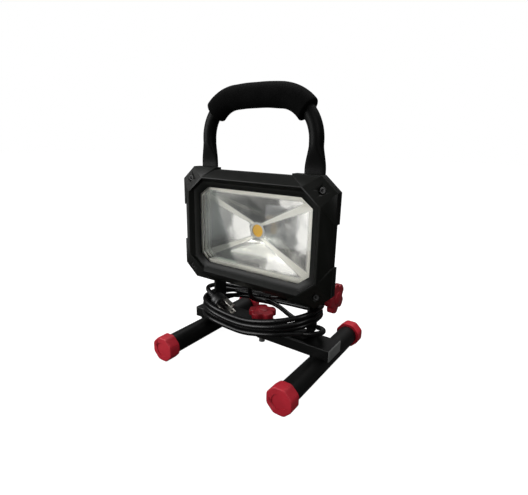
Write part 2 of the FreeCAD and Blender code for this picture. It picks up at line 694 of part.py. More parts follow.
# ---------------------------------------------------------------- seal, glass, gasket, reflector
def housing_seal():
    ring = between(rim(RECESS + 1.2, PART_Y), rim(RECESS + 1.2, PART_Y + SEAL_THICK))
    hole = between(opening(GLASS_LAP + DROP_IN, PART_Y), opening(GLASS_LAP + DROP_IN, PART_Y + SEAL_THICK))
    ring = ring.cut(hole)
    for x, z in screw_spots:
        ring = ring.cut(rod(SCREW_R + BOLT_HOLE, SEAL_THICK, (x, PART_Y, z), Y))
    return ring


nodes["housing_seal"] = housing_seal()
nodes["lens_glass"] = between(opening(GLASS_LAP, GLASS_Y), opening(GLASS_LAP, GLASS_BACK_Y))
gasket_in = GLASS_LAP - GASKET_WIDTH
nodes["lens_gasket"] = between(opening(GLASS_LAP, GLASS_BACK_Y), opening(GLASS_LAP, GASKET_BACK_Y)).cut(
    between(opening(gasket_in, GLASS_BACK_Y), opening(gasket_in, GASKET_BACK_Y))
)


def dish(outset, y):
    return octagon(DISH_HALF_X + outset, DISH_HALF_Z + outset, DISH_CUT, DISH_CUT, y)


def hub(outset, y):
    return octagon(HUB_HALF + outset, HUB_HALF + outset, HUB_CUT, HUB_CUT, y)


def reflector():
    flange = between(opening(FLANGE_LAP, GLASS_BACK_Y), opening(FLANGE_LAP, FLANGE_BACK_Y))
    shell = between(dish(DISH_WALL, GLASS_BACK_Y), hub(DISH_WALL, HUB_Y + DISH_WALL))
    cavity = between(dish(0, GLASS_BACK_Y), hub(0, HUB_Y))
    body = flange.fuse(shell).cut(cavity)
    return body.cut(rod(HUB_HOLE_R, 4 * DISH_WALL, (0, HUB_Y - DISH_WALL, HEAD_Z), Y))


nodes["reflector"] = reflector()

# ---------------------------------------------------------------- LED board, ring, spreader
led_y = LED_BOARD_Y - LED_THICK
nodes["led_field"] = rod(LED_R, LED_THICK, (0, led_y, HEAD_Z), Y)
ring_depth = LED_BOARD_Y - HUB_Y
led_ring = rod(RING_R, ring_depth, (0, HUB_Y, HEAD_Z), Y)
nodes["led_ring"] = led_ring.cut(rod(LED_R + PUSH_FIT, ring_depth, (0, HUB_Y, HEAD_Z), Y))
half = LED_BOARD_HALF
led_board = block(-half, half, LED_BOARD_Y, SPREADER_Y, HEAD_Z - half, HEAD_Z + half)
led_screw_spots = [(sx * LED_SCREW_AT, HEAD_Z + sx * LED_SCREW_AT) for sx in (-1, 1)]
spreader = block(
    -SPREADER_HALF_X, SPREADER_HALF_X, SPREADER_Y, SPREADER_BACK_Y, HEAD_Z - SPREADER_HALF_Z, HEAD_Z + SPREADER_HALF_Z
)


def small_screw(x, z, seat_y, radius, head_r, head_height, length):
    """A pan-head screw driven in along +Y, its head's underside at seat_y."""
    head = rod(head_r, head_height, (x, seat_y - head_height, z), Y)
    head = head.makeFillet(head_height * 0.45, [e for e in head.Edges if e.BoundBox.YMax < seat_y - head_height + 1e-6])
    socket = hexagon(head_r * 0.8, head_height * 0.6, (x, seat_y - head_height, z), Y)
    return head.cut(socket).fuse(rod(radius, length, (x, seat_y, z), Y))


led_screw_length = LED_BOARD_THICK + SPREADER_THICK
led_screws = []
for x, z in led_screw_spots:
    hole = rod(LED_SCREW_R, led_screw_length, (x, LED_BOARD_Y, z), Y)
    led_board = led_board.cut(hole)
    spreader = spreader.cut(hole)
    led_screws.append(
        small_screw(x, z, LED_BOARD_Y, LED_SCREW_R, LED_SCREW_HEAD_R, LED_SCREW_HEAD, led_screw_length)
    )
nodes["led_board"] = led_board
nodes["led_screws"] = group(led_screws)

post_spots = [(sx * POST_AT_X, HEAD_Z + sz * POST_AT_Z) for sx in (-1, 1) for sz in (-1, 1)]
spreader_screws = []
for x, z in post_spots:
    spreader = spreader.cut(rod(POST_SCREW_R + PUSH_FIT, SPREADER_THICK, (x, SPREADER_Y, z), Y))
    spreader_screws.append(
        small_screw(x, z, SPREADER_Y, POST_SCREW_R, POST_SCREW_HEAD_R, POST_SCREW_HEAD, POST_SCREW_LENGTH)
    )
wire_hole_r = WIRE_R + BOLT_HOLE
wire_spots = [(sx * (LED_BOARD_HALF + 3), HEAD_Z) for sx in (-1, 1)]
for x, z in wire_spots:
    spreader = spreader.cut(rod(wire_hole_r, SPREADER_THICK, (x, SPREADER_Y, z), Y))
nodes["heat_spreader"] = spreader
nodes["spreader_screws"] = group(spreader_screws)

# ---------------------------------------------------------------- driver board and its parts
driver_posts = [(sx * (DRIVER_HALF_X - 4), z) for sx in (-1, 1) for z in (DRIVER_LOW_Z + 4, DRIVER_HIGH_Z - 4)]
driver = block(-DRIVER_HALF_X, DRIVER_HALF_X, DRIVER_Y, DRIVER_Y + DRIVER_THICK, DRIVER_LOW_Z, DRIVER_HIGH_Z)
driver_screws = []
for x, z in driver_posts:
    driver = driver.cut(rod(DRIVER_SCREW_R + PUSH_FIT, DRIVER_THICK, (x, DRIVER_Y, z), Y))
    driver_screws.append(
        small_screw(x, z, DRIVER_Y, DRIVER_SCREW_R, DRIVER_SCREW_HEAD_R, DRIVER_SCREW_HEAD, DRIVER_SCREW_LENGTH)
    )
nodes["driver_board"] = driver
nodes["driver_screws"] = group(driver_screws)
part_room = DRIVER_Y - SPREADER_BACK_Y - 1.0
part_z = DRIVER_LOW_Z + PART_ABOVE_EDGE
part_x = TRANSFORMER_HALF * 2
transformer = block(
    -TRANSFORMER_HALF, TRANSFORMER_HALF, DRIVER_Y - part_room, DRIVER_Y, part_z, part_z + TRANSFORMER_HEIGHT
)
capacitor = rod(part_room / 2, CAPACITOR_LENGTH, (part_x, DRIVER_Y - part_room / 2, part_z + part_room / 2), Z)
inductor = rod(INDUCTOR_R, part_room * 0.8, (-part_x, DRIVER_Y - part_room * 0.8, part_z + CAPACITOR_LENGTH * 0.7), Y)
nodes["driver_parts"] = group([transformer, capacitor, inductor])


# ---------------------------------------------------------------- rear housing
def lug():
    """The right-hand tilt lug: a gusset from the back of the rim to a round nose about the pivot."""
    low = RIM_LOW_Z + 1.2
    points = [
        (LUG_IN, BAND_BACK_Y, low),
        (LUG_IN, BAND_BACK_Y, low + LUG_RISE),
        (LUG_IN, LUG_R * math.cos(LUG_BACK), PIVOT_Z + LUG_R * math.sin(LUG_BACK)),
        (LUG_IN, LUG_R * math.cos(LUG_FRONT), PIVOT_Z - LUG_R * math.sin(LUG_FRONT)),
    ]
    nose = rod(LUG_R, LUG_THICK, (LUG_IN, PIVOT_Y, PIVOT_Z), X)
    return nose.fuse(prism(points, Vec(LUG_THICK, 0, 0)))


def rim_groove():
    """The groove in the front of the rim that keeps the casting's wall even, clear of every screw."""
    front = PART_Y + SEAL_THICK
    floor = BAND_BACK_Y - BOX_WALL
    groove = between(rim(RECESS + BOX_WALL, front), rim(RECESS + BOX_WALL, floor))
    inner = GLASS_LAP + DROP_IN + BOX_WALL
    groove = groove.cut(between(opening(inner, front), opening(inner, floor)))
    for x, z in screw_spots:
        groove = groove.cut(rod(BEZEL_BOSS_R, floor - front, (x, front, z), Y))
    for x in (-HANDLE_HALF_SPAN, HANDLE_HALF_SPAN):
        groove = groove.cut(rod(BEZEL_BOSS_R + 2, floor - front, (x, front, HANDLE_SCREW_Z), Y))
    return groove


def rear_housing():
    band = between(rim(0, PART_Y + SEAL_THICK), rim(0, BAND_BACK_Y)).cut(recess_cuts(PART_Y, BAND_BACK_Y))
    tub = octagon_slab(BOX_HALF_X, BOX_HALF_Z, BOX_CUT, BOX_CUT, BAND_BACK_Y, BOX_BACK_Y)
    band = band.cut(rim_groove())
    body = band.fuse([tub, lug(), mirrored(lug())])
    count = int((BOX_HALF_X - BOX_CUT * 0.5) / FIN_PITCH)
    for i in range(-count, count + 1):
        x = i * FIN_PITCH
        reach = BOX_HALF_Z - FIN_END
        fin = block(
            x - FIN_THICK / 2, x + FIN_THICK / 2, BOX_BACK_Y, FIN_TIP_Y, HEAD_Z - reach, HEAD_Z + reach
        )
        top_edges = [e for e in fin.Edges if e.BoundBox.YMin > FIN_TIP_Y - 1e-6 and e.Length < 2 * FIN_THICK]
        body = body.fuse(fin.makeChamfer(FIN_HEIGHT * 0.6, top_edges))
    pad_x = SWITCH_HALF_X + 6
    pad_z = SWITCH_HALF_Z + 6
    pad_y = BOX_BACK_Y + SWITCH_PAD
    body = body.cut(block(-pad_x, pad_x, pad_y, FIN_TIP_Y, SWITCH_Z - pad_z, SWITCH_Z + pad_z))
    body = body.fuse(block(-pad_x, pad_x, BOX_BACK_Y, pad_y, SWITCH_Z - pad_z, SWITCH_Z + pad_z))

    seal_y = PART_Y + SEAL_THICK
    body = body.cut(between(opening(GLASS_LAP + DROP_IN, PART_Y), opening(GLASS_LAP + DROP_IN, GASKET_BACK_Y)))
    ledge = between(opening(FLANGE_LAP + 0.2, FLANGE_BACK_Y), opening(FLANGE_LAP + 0.2, GASKET_BACK_Y))
    body = body.fuse(ledge)
    inner_x = BOX_HALF_X - BOX_WALL
    inner_z = BOX_HALF_Z - BOX_WALL
    body = body.cut(octagon_slab(inner_x - 1, inner_z - 1, BOX_CUT, BOX_CUT, PART_Y, BOX_IN_Y))
    for x, z in post_spots:
        body = body.fuse(rod(POST_R, BOX_IN_Y - SPREADER_BACK_Y, (x, SPREADER_BACK_Y, z), Y))
        reach = POST_SCREW_LENGTH - SPREADER_THICK
        body = body.cut(rod(POST_SCREW_R, reach, (x, SPREADER_BACK_Y, z), Y))
    for x, z in driver_posts:
        body = body.fuse(rod(3.2, DRIVER_POST, (x, BOX_IN_Y - DRIVER_POST, z), Y))
        reach = DRIVER_SCREW_LENGTH - DRIVER_THICK
        body = body.cut(rod(DRIVER_SCREW_R, reach, (x, BOX_IN_Y - DRIVER_POST, z), Y))
    for x, z in screw_spots:
        body = body.cut(rod(SCREW_R, SCREW_SEAT_Y + SCREW_LENGTH - seal_y, (x, seal_y, z), Y))
    body = body.cut(
        block(-SWITCH_HALF_X, SWITCH_HALF_X, BOX_IN_Y, pad_y, SWITCH_Z - SWITCH_HALF_Z, SWITCH_Z + SWITCH_HALF_Z)
    )
    body = body.cut(rod(GLAND_THREAD_R + PUSH_FIT, BOX_WALL + 2, (GLAND_X, GLAND_Y, BOX_LOW_Z), Z))
    for side in (-1, 1):
        shaft = rod(STUD_R + RUNNING_FIT, LUG_THICK, (side * LUG_IN, PIVOT_Y, PIVOT_Z), X * side)
        body = body.cut(shaft)
        x = side * HANDLE_HALF_SPAN
        body = body.fuse(handle_boss(x))
        body = body.cut(rod(HANDLE_SCREW_R, HANDLE_SCREW_DEPTH, (x, boss_y - HANDLE_SCREW_DEPTH, HANDLE_SCREW_Z), Y))
    return body.removeSplitter()


boss_y = HANDLE_Y - FLAT_THICK / 2


def handle_boss(x):
    """The raised pad on the back of the rim that a flattened handle end lies on."""
    return rod(FLAT_HALF_WIDTH * 0.6, boss_y - BAND_BACK_Y, (x, BAND_BACK_Y, HANDLE_SCREW_Z), Y)


nodes["rear_housing"] = rear_housing()

bezel_screws = []
for x, z in screw_spots:
    bezel_screws.append(
        small_screw(x, z, SCREW_SEAT_Y, SCREW_R, SCREW_HEAD_R, SCREW_HEAD_HEIGHT, SCREW_LENGTH)
    )
nodes["bezel_screws"] = group(bezel_screws)

# ---------------------------------------------------------------- switch
pad_face = BOX_BACK_Y + SWITCH_PAD
flange_x = SWITCH_HALF_X + 2.2
flange_z = SWITCH_HALF_Z + 2.2
switch = block(-flange_x, flange_x, pad_face, pad_face + SWITCH_FLANGE, SWITCH_Z - flange_z, SWITCH_Z + flange_z)
front = [e for e in switch.Edges if e.BoundBox.YMin > pad_face + SWITCH_FLANGE - 1e-6]
switch = switch.makeChamfer(1.0, front)
neck_x = SWITCH_HALF_X - PUSH_FIT
neck_z = SWITCH_HALF_Z - PUSH_FIT
switch = switch.fuse(
    block(-neck_x, neck_x, pad_face - SWITCH_DEPTH, pad_face, SWITCH_Z - neck_z, SWITCH_Z + neck_z)
)
well = 7.0
well_y = pad_face + SWITCH_FLANGE - well
room = 0.5
switch = switch.cut(
    block(-ROCKER_HALF_X - room, ROCKER_HALF_X + room, well_y, pad_face + SWITCH_FLANGE,
          SWITCH_Z - ROCKER_HALF_Z - room - 0.6, SWITCH_Z + ROCKER_HALF_Z + room + 0.6)
)
rocker_axle_y = pad_face + SWITCH_FLANGE - 3.2
axle_reach = ROCKER_HALF_X + room + 1.0
switch = switch.cut(
    rod(ROCKER_AXLE_R + RUNNING_FIT, 2 * axle_reach, (-axle_reach, rocker_axle_y, SWITCH_Z), X)
)
nodes["switch_body"] = switch


def rocker():
    """A shallow V-faced rocker about its axle, lying on its lower half."""
    face = rocker_axle_y + 4.0
    rise = ROCKER_HALF_Z * math.tan(math.radians(ROCKER_TILT))
    points = [
        (-ROCKER_HALF_X, rocker_axle_y - 0.6, SWITCH_Z - ROCKER_HALF_Z),
        (-ROCKER_HALF_X, rocker_axle_y - 0.6, SWITCH_Z + ROCKER_HALF_Z),
        (-ROCKER_HALF_X, face + rise, SWITCH_Z + ROCKER_HALF_Z),
        (-ROCKER_HALF_X, face, SWITCH_Z),
        (-ROCKER_HALF_X, face + rise, SWITCH_Z - ROCKER_HALF_Z),
    ]
    body = prism(points, Vec(2 * ROCKER_HALF_X, 0, 0))
    reach = axle_reach - 0.2
    body = body.fuse(rod(ROCKER_AXLE_R, 2 * reach, (-reach, rocker_axle_y, SWITCH_Z), X))
    body.rotate(Vec(0, rocker_axle_y, SWITCH_Z), X, -ROCKER_TILT)
    return body


nodes["switch_rocker"] = rocker()

# ---------------------------------------------------------------- gland and strain relief
gland_base = (GLAND_X, GLAND_Y, BOX_LOW_Z)
gland_top = 6.0
hole_r = CORD_D / 2 + PUSH_FIT
gland = rod(GLAND_THREAD_R, gland_top + GLAND_NUT_HEIGHT * 0.5, (GLAND_X, GLAND_Y, BOX_LOW_Z - GLAND_NUT_HEIGHT * 0.5), Z)
gland = gland.fuse(hexagon(GLAND_NUT_R * 2, 3.0, (GLAND_X, GLAND_Y, BOX_LOW_Z - 3.0), Z))
nodes["cable_gland"] = gland.cut(rod(hole_r, 40, (GLAND_X, GLAND_Y, BOX_LOW_Z - 20), Z))
cap_height = GLAND_NUT_HEIGHT - 3.0
cap = rod(GLAND_NUT_R * 0.92, cap_height, (GLAND_X, GLAND_Y, BOX_LOW_Z - GLAND_NUT_HEIGHT), Z)
cap = cap.makeFillet(1.6, [e for e in cap.Edges if e.BoundBox.ZMax < BOX_LOW_Z - GLAND_NUT_HEIGHT + 1e-6])
cap = cap.cut(rod(GLAND_THREAD_R + PUSH_FIT, GLAND_NUT_HEIGHT, (GLAND_X, GLAND_Y, BOX_LOW_Z - GLAND_NUT_HEIGHT * 0.5), Z))
nodes["gland_cap"] = cap.cut(rod(hole_r, 40, (GLAND_X, GLAND_Y, BOX_LOW_Z - 20), Z))
relief = taper(RELIEF_TOP_R, RELIEF_END_R, RELIEF_LENGTH, (GLAND_X, GLAND_Y, BOX_LOW_Z - GLAND_NUT_HEIGHT), Z * -1)
nodes["strain_relief"] = relief.cut(rod(hole_r, 12, (GLAND_X, GLAND_Y, BOX_LOW_Z - GLAND_NUT_HEIGHT - 12), Z))
lock = hexagon(GLAND_NUT_R * 2, 3.0, (GLAND_X, GLAND_Y, BOX_LOW_Z + BOX_WALL + 1), Z)
inlet_z = BOX_LOW_Z - GLAND_NUT_HEIGHT - 12
nodes["cord_inlet"] = rod(CORD_D / 2, CORD_INSIDE + BOX_LOW_Z - inlet_z, (GLAND_X, GLAND_Y, inlet_z), Z)
nodes["gland_locknut"] = lock.cut(rod(GLAND_THREAD_R + PUSH_FIT, 3.0, (GLAND_X, GLAND_Y, BOX_LOW_Z + BOX_WALL + 1), Z))

# ---------------------------------------------------------------- inner leads
led_leads = []
for x, z in wire_spots:
    side = 1 if x > 0 else -1
    points = [
        (side * (RING_R + 1.5), LED_BOARD_Y - WIRE_R, z),
        (x, LED_BOARD_Y - WIRE_R, z),
        (x, DRIVER_Y, z),
    ]
    wire, _ = swept(points, WIRE_R, [2.0])
    led_leads.append(wire)
nodes["led_leads"] = group(led_leads)

# ---------------------------------------------------------------- handle and grip
def handle_path():
    """Centreline of the round part: up the left leg, over the top and down the right leg."""
    return [
        (-HANDLE_HALF_SPAN, HANDLE_Y, ROUND_Z),
        (-HANDLE_HALF_SPAN, HANDLE_Y, HANDLE_TOP_Z),
        (0, HANDLE_Y, HANDLE_TOP_Z + HANDLE_ARCH),
        (HANDLE_HALF_SPAN, HANDLE_Y, HANDLE_TOP_Z),
        (HANDLE_HALF_SPAN, HANDLE_Y, ROUND_Z),
    ]


def leg_section(x, z, share):
    """The leg's closed outline at a height: a flat strip with rounded edges at share 0, a circle at 1."""
    ease = share * share * (3 - 2 * share)
    neck_r = HANDLE_R - LEG_INSET
    wide = FLAT_HALF_WIDTH + (neck_r - FLAT_HALF_WIDTH) * ease
    deep = FLAT_THICK / 2 + (neck_r - FLAT_THICK / 2) * ease
    power = 2 / (FLAT_SQUARENESS + (2 - FLAT_SQUARENESS) * ease)
    points = []
    for i in range(LEG_POINTS):
        angle = 2 * math.pi * i / LEG_POINTS
        c = math.cos(angle)
        s = math.sin(angle)
        along = math.copysign(abs(c) ** power, c)
        across = math.copysign(abs(s) ** power, s)
        points.append(Vec(x + wide * along, HANDLE_Y + deep * across, z))
    outline = Part.BSplineCurve()
    outline.interpolate(Points=points, PeriodicFlag=True, Parameters=list(range(LEG_POINTS + 1)))
    return Part.Wire(outline.toShape())


def flat_leg(x):
    """The leg from its round section down to the flattened, rounded end that is screwed to the housing."""
    rise = ROUND_Z + LEG_LAP - FLAT_TOP_Z
    sections = []
    for i in range(LEG_STEPS + 1):
        share = i / LEG_STEPS
        sections.append(leg_section(x, FLAT_TOP_Z + rise * share, share))
    leg = Part.makeLoft(sections, True, False)
    strip = Part.Face(sections[0]).extrude(Vec(0, 0, FLAT_END_Z - FLAT_TOP_Z))
    end_r = FLAT_HALF_WIDTH + FLAT_END_CLEAR
    end_z = FLAT_END_Z + end_r
    y0 = HANDLE_Y - FLAT_THICK
    outline = block(x - end_r, x + end_r, y0, y0 + 2 * FLAT_THICK, end_z, FLAT_TOP_Z)
    outline = outline.fuse(rod(end_r, 2 * FLAT_THICK, (x, y0, end_z), Y))
    tab = strip.common(outline)
    tab = tab.cut(rod(HANDLE_SCREW_R + BOLT_HOLE, 2 * FLAT_THICK, (x, y0, HANDLE_SCREW_Z), Y))
    return leg.fuse(tab)


def handle_tube():
    tube, _ = swept(handle_path(), HANDLE_R, HANDLE_BENDS)
    bore, _ = swept(handle_path(), HANDLE_R - HANDLE_WALL, HANDLE_BENDS)
    body = tube.cut(bore)
    for x in (-HANDLE_HALF_SPAN, HANDLE_HALF_SPAN):
        body = body.fuse(flat_leg(x))
    return body


nodes["handle_tube"] = handle_tube()


def foam_grip():
    """The foam sleeve over the top of the handle, ending on its two bends."""
    outer, _ = swept(handle_path(), GRIP_R, HANDLE_BENDS)
    inner, _ = swept(handle_path(), HANDLE_R + PUSH_FIT, HANDLE_BENDS)
    sleeve = outer.cut(inner)
    centre_x = HANDLE_HALF_SPAN - HANDLE_BEND
    centre_z = HANDLE_TOP_Z - HANDLE_BEND
    swing = math.acos(1 - GRIP_DROP / HANDLE_BEND)
    far = 3 * HANDLE_BEND
    for side in (-1, 1):
        here = (side * centre_x, HANDLE_Y - 2 * GRIP_R, centre_z)
        along = (here[0] + side * far * math.sin(swing), here[1], here[2] + far * math.cos(swing))
        out = (here[0] + side * far * 3, here[1], here[2] + far * math.cos(swing))
        low = (here[0] + side * far * 3, here[1], here[2] - far)
        under = (here[0], here[1], here[2] - far)
        sleeve = sleeve.cut(prism([here, along, out, low, under], Vec(0, 4 * GRIP_R, 0)))
    return sleeve


nodes["foam_grip"] = foam_grip()

handle_screws = []
handle_washers = []
tab_back = HANDLE_Y + FLAT_THICK / 2
for x in (-HANDLE_HALF_SPAN, HANDLE_HALF_SPAN):
    head = hexagon(HANDLE_HEAD_ACROSS, HANDLE_HEAD, (x, tab_back + HANDLE_WASHER, HANDLE_SCREW_Z), Y)
    shank_length = FLAT_THICK + HANDLE_WASHER + HANDLE_SCREW_DEPTH
    shank = rod(HANDLE_SCREW_R, shank_length, (x, tab_back + HANDLE_WASHER - shank_length, HANDLE_SCREW_Z), Y)
    handle_screws.append(head.fuse(shank))
    ring = rod(HANDLE_WASHER_R, HANDLE_WASHER, (x, tab_back, HANDLE_SCREW_Z), Y)
    handle_washers.append(ring.cut(rod(HANDLE_SCREW_R + PUSH_FIT, HANDLE_WASHER, (x, tab_back, HANDLE_SCREW_Z), Y)))
nodes["handle_screws"] = group(handle_screws)
nodes["handle_washers"] = group(handle_washers)


# ---------------------------------------------------------------- cord: lead, coil and plug
def cord_lead():
    bends = []
    corners = [Vec(*p) for p in LEAD_POINTS]
    for i in range(1, len(corners) - 1):
        before = corners[i] - corners[i - 1]
        after = corners[i + 1] - corners[i]
        bends.append(0.45 * min(before.Length, after.Length) / math.tan(before.getAngle(after) / 2))
    tube, length = swept(LEAD_POINTS, CORD_D / 2, bends)
    print("cord lead: length", round(length, 1), "bend radii", [round(b, 1) for b in bends])
    print("cord lead: volume / (section x length)", round(tube.Volume / (math.pi * CORD_D ** 2 / 4 * length), 4))
    return tube


def smooth(low, high, value):
    share = min(1.0, max(0.0, (value - low) / (high - low)))
    return share * share * (3 - 2 * share)


def coil_middle(c, s):
    """Middle of the wound turns, from the cosine and sine of their plan angle."""
    n = (COIL_LEFT_SQUARENESS + COIL_RIGHT_SQUARENESS + (COIL_RIGHT_SQUARENESS - COIL_LEFT_SQUARENESS) * c) / 2
    n += (COIL_SQUARENESS - n) * smooth(-0.15, 0.30, s)
    reach = (abs(c) ** n + abs(s) ** n) ** (-1 / n)
    half_y = COIL_HALF_Y if s < 0 else COIL_BACK_HALF_Y
    base_z = COIL_FRONT_Z + (COIL_BACK_Z - COIL_FRONT_Z) * smooth(-0.6, 0.6, s)
    side_z = COIL_RIGHT_Z if c > 0 else COIL_LEFT_Z
    z = base_z + (side_z - base_z) * abs(c) ** 1.2
    return Vec(COIL_X + COIL_HALF_X * reach * c, COIL_Y + half_y * reach * s, z)


def coil_section(turn):
    """Middle, half width and half height of the wound turns where the plan angle is turn."""
    c = math.cos(turn)
    s = math.sin(turn)
    middle = coil_middle(c, s)
    at_right = smooth(0.3, 0.9, c)
    at_left = smooth(0.6, 0.95, -c)
    behind = smooth(0.30, 0.50, s)
    below = COIL_NEST + (COIL_STACK - COIL_NEST) * at_right
    above = below + (COIL_FEED - COIL_NEST) * at_left
    below += (COIL_BACK_BELOW - below) * behind
    above += (COIL_BACK_ABOVE - above) * behind
    middle.z += (above - below) / 2
    spread = smooth(0.55, 0.85, s)
    middle.y += spread * COIL_BACK_OUT
    half_width = CORD_D / 2 + 0.5 + spread * COIL_BACK_SPREAD
    return middle, half_width, (above + below) / 2


def cord_coil():
    """One closed ring with the outer shape of all the turns wound round the yoke's arms."""
    rings = []
    for i in range(COIL_STATIONS):
        turn = 2 * math.pi * i / COIL_STATIONS
        middle, half_width, half_height = coil_section(turn)
        ahead, _, _ = coil_section(turn + 0.01)
        behind, _, _ = coil_section(turn - 0.01)
        along = ahead - behind
        outward = Vec(along.y, -along.x, 0).normalize()
        ring = []
        for side_w, side_h in ((1, -1), (1, 1), (-1, 1), (-1, -1)):
            ring.append(middle + outward * side_w * half_width + Z * side_h * half_height)
        rings.append(ring)
    faces = []
    for i in range(COIL_STATIONS):
        here = rings[i]
        there = rings[(i + 1) % COIL_STATIONS]
        for k in range(4):
            a, b = here[k], here[(k + 1) % 4]
            c, d = there[(k + 1) % 4], there[k]
            faces.append(Part.Face(Part.makePolygon([a, b, c, a])))
            faces.append(Part.Face(Part.makePolygon([a, c, d, a])))
    shell = Part.makeShell(faces)
    shell.sewShape()
    solid = Part.makeSolid(shell)
    if solid.Volume < 0:
        solid.reverse()
    return solid


nodes["cord_lead"] = cord_lead()
nodes["cord_coil"] = cord_coil()

across = PLUG_HEADING.cross(PLUG_TO_BLADES).normalize()
to_blades = across.cross(PLUG_HEADING)
ground_at = PLUG_FACE - to_blades * (PIN_OFFSET / 2)
blades_at = PLUG_FACE + to_blades * (PIN_OFFSET / 2)


def plug_body():
    body = Part.makeCylinder(PLUG_R, PLUG_LENGTH, PLUG_FACE, PLUG_HEADING * -1)
    body = body.makeFillet(PLUG_ROUND, [e for e in body.Edges if e.isClosed() and len(e.Vertexes) == 1])
    shoulder = PLUG_FACE - PLUG_HEADING * PLUG_LENGTH
    body = body.fuse(Part.makeCone(PLUG_SHOULDER_R, PLUG_NECK_R, PLUG_NECK_LENGTH, shoulder, PLUG_HEADING * -1))
    return body


nodes["plug_body"] = plug_body()


def blade(side):
    corner = blades_at + across * (side * PIN_SPACING / 2 - BLADE_THICK / 2) - to_blades * (BLADE_WIDTH / 2)
    loop = [corner, corner + across * BLADE_THICK, corner + across * BLADE_THICK + to_blades * BLADE_WIDTH,
            corner + to_blades * BLADE_WIDTH]
    strip = Part.Face(Part.makePolygon(loop + loop[:1])).extrude(PLUG_HEADING * BLADE_LENGTH)
    eye = blades_at + across * (side * PIN_SPACING / 2 - BLADE_THICK) + PLUG_HEADING * (BLADE_LENGTH - 4.2)
    return strip.cut(Part.makeCylinder(1.6, BLADE_THICK * 2, eye, across))


nodes["plug_blades"] = group([blade(-1), blade(1)])
pin = Part.makeCylinder(GROUND_R, GROUND_LENGTH - GROUND_R, ground_at, PLUG_HEADING)
tip = Part.makeSphere(GROUND_R, ground_at + PLUG_HEADING * (GROUND_LENGTH - GROUND_R))
nodes["plug_ground_pin"] = pin.fuse(tip)

# ---------------------------------------------------------------- write
os.makedirs("parts", exist_ok=True)
for name, shape in nodes.items():
    shape.exportStep("parts/" + name + ".step")
    solids = shape.Solids
    print(name, len(solids), "valid" if shape.isValid() else "NOT VALID", [round(s.Volume) for s in solids][:4])
print(len(nodes), "nodes")
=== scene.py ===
import math

import bmesh
import bpy
from mathutils import Matrix, Quaternion, Vector, noise
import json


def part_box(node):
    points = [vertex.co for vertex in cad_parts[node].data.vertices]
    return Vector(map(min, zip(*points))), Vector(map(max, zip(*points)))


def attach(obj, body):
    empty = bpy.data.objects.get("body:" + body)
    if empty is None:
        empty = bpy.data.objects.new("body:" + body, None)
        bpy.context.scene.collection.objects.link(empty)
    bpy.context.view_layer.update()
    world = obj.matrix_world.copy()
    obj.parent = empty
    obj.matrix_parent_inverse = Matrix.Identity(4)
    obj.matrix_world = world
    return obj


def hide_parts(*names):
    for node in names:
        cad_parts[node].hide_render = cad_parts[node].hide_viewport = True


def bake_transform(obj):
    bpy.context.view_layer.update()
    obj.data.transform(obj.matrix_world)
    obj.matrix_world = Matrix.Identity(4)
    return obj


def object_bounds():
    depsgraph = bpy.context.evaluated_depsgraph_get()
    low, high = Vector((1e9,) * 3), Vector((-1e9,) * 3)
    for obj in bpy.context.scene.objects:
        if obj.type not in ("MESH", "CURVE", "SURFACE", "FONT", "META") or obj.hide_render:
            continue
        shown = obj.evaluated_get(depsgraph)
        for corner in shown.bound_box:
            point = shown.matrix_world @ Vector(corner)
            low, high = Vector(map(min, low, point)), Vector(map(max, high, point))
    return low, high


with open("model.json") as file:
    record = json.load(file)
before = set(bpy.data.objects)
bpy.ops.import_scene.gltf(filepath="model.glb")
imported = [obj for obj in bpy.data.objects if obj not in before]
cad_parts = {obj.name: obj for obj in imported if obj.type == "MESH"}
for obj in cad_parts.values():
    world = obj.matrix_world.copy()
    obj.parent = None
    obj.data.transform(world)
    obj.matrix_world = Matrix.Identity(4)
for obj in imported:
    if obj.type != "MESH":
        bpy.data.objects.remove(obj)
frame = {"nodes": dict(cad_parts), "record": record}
cad_low, cad_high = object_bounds()
nodes = frame["nodes"]
scene = bpy.context.scene
scene.view_settings.view_transform = "Standard"

MM = 0.001
UP = Vector((0, 0, 1))
SAME_SPOT = 1e-6           # vertices within this many metres of each other are one


# ---------------------------------------------------------------- camera
CAMERA_AT = (0.26445, -0.39024, 0.27516)  # metres
CAMERA_AZIMUTH = math.radians(34.12)
CAMERA_ELEVATION = math.radians(15.51)
CAMERA_ROLL = math.radians(1.24)
CAMERA_LENS = 26.57
CAMERA_SENSOR = 36.0
CAMERA_NEAR = 0.01

toward = Vector((
    -math.sin(CAMERA_AZIMUTH) * math.cos(CAMERA_ELEVATION),
    math.cos(CAMERA_AZIMUTH) * math.cos(CAMERA_ELEVATION),
    -math.sin(CAMERA_ELEVATION),
))
camera_data = bpy.data.cameras.new("camera")
camera_data.lens = CAMERA_LENS
camera_data.sensor_width = CAMERA_SENSOR
camera_data.clip_start = CAMERA_NEAR
camera = bpy.data.objects.new("camera", camera_data)
scene.collection.objects.link(camera)
camera.rotation_mode = "QUATERNION"
camera.rotation_quaternion = toward.to_track_quat("-Z", "Y") @ Quaternion((0, 0, 1), CAMERA_ROLL)
camera.location = CAMERA_AT
scene.camera = camera


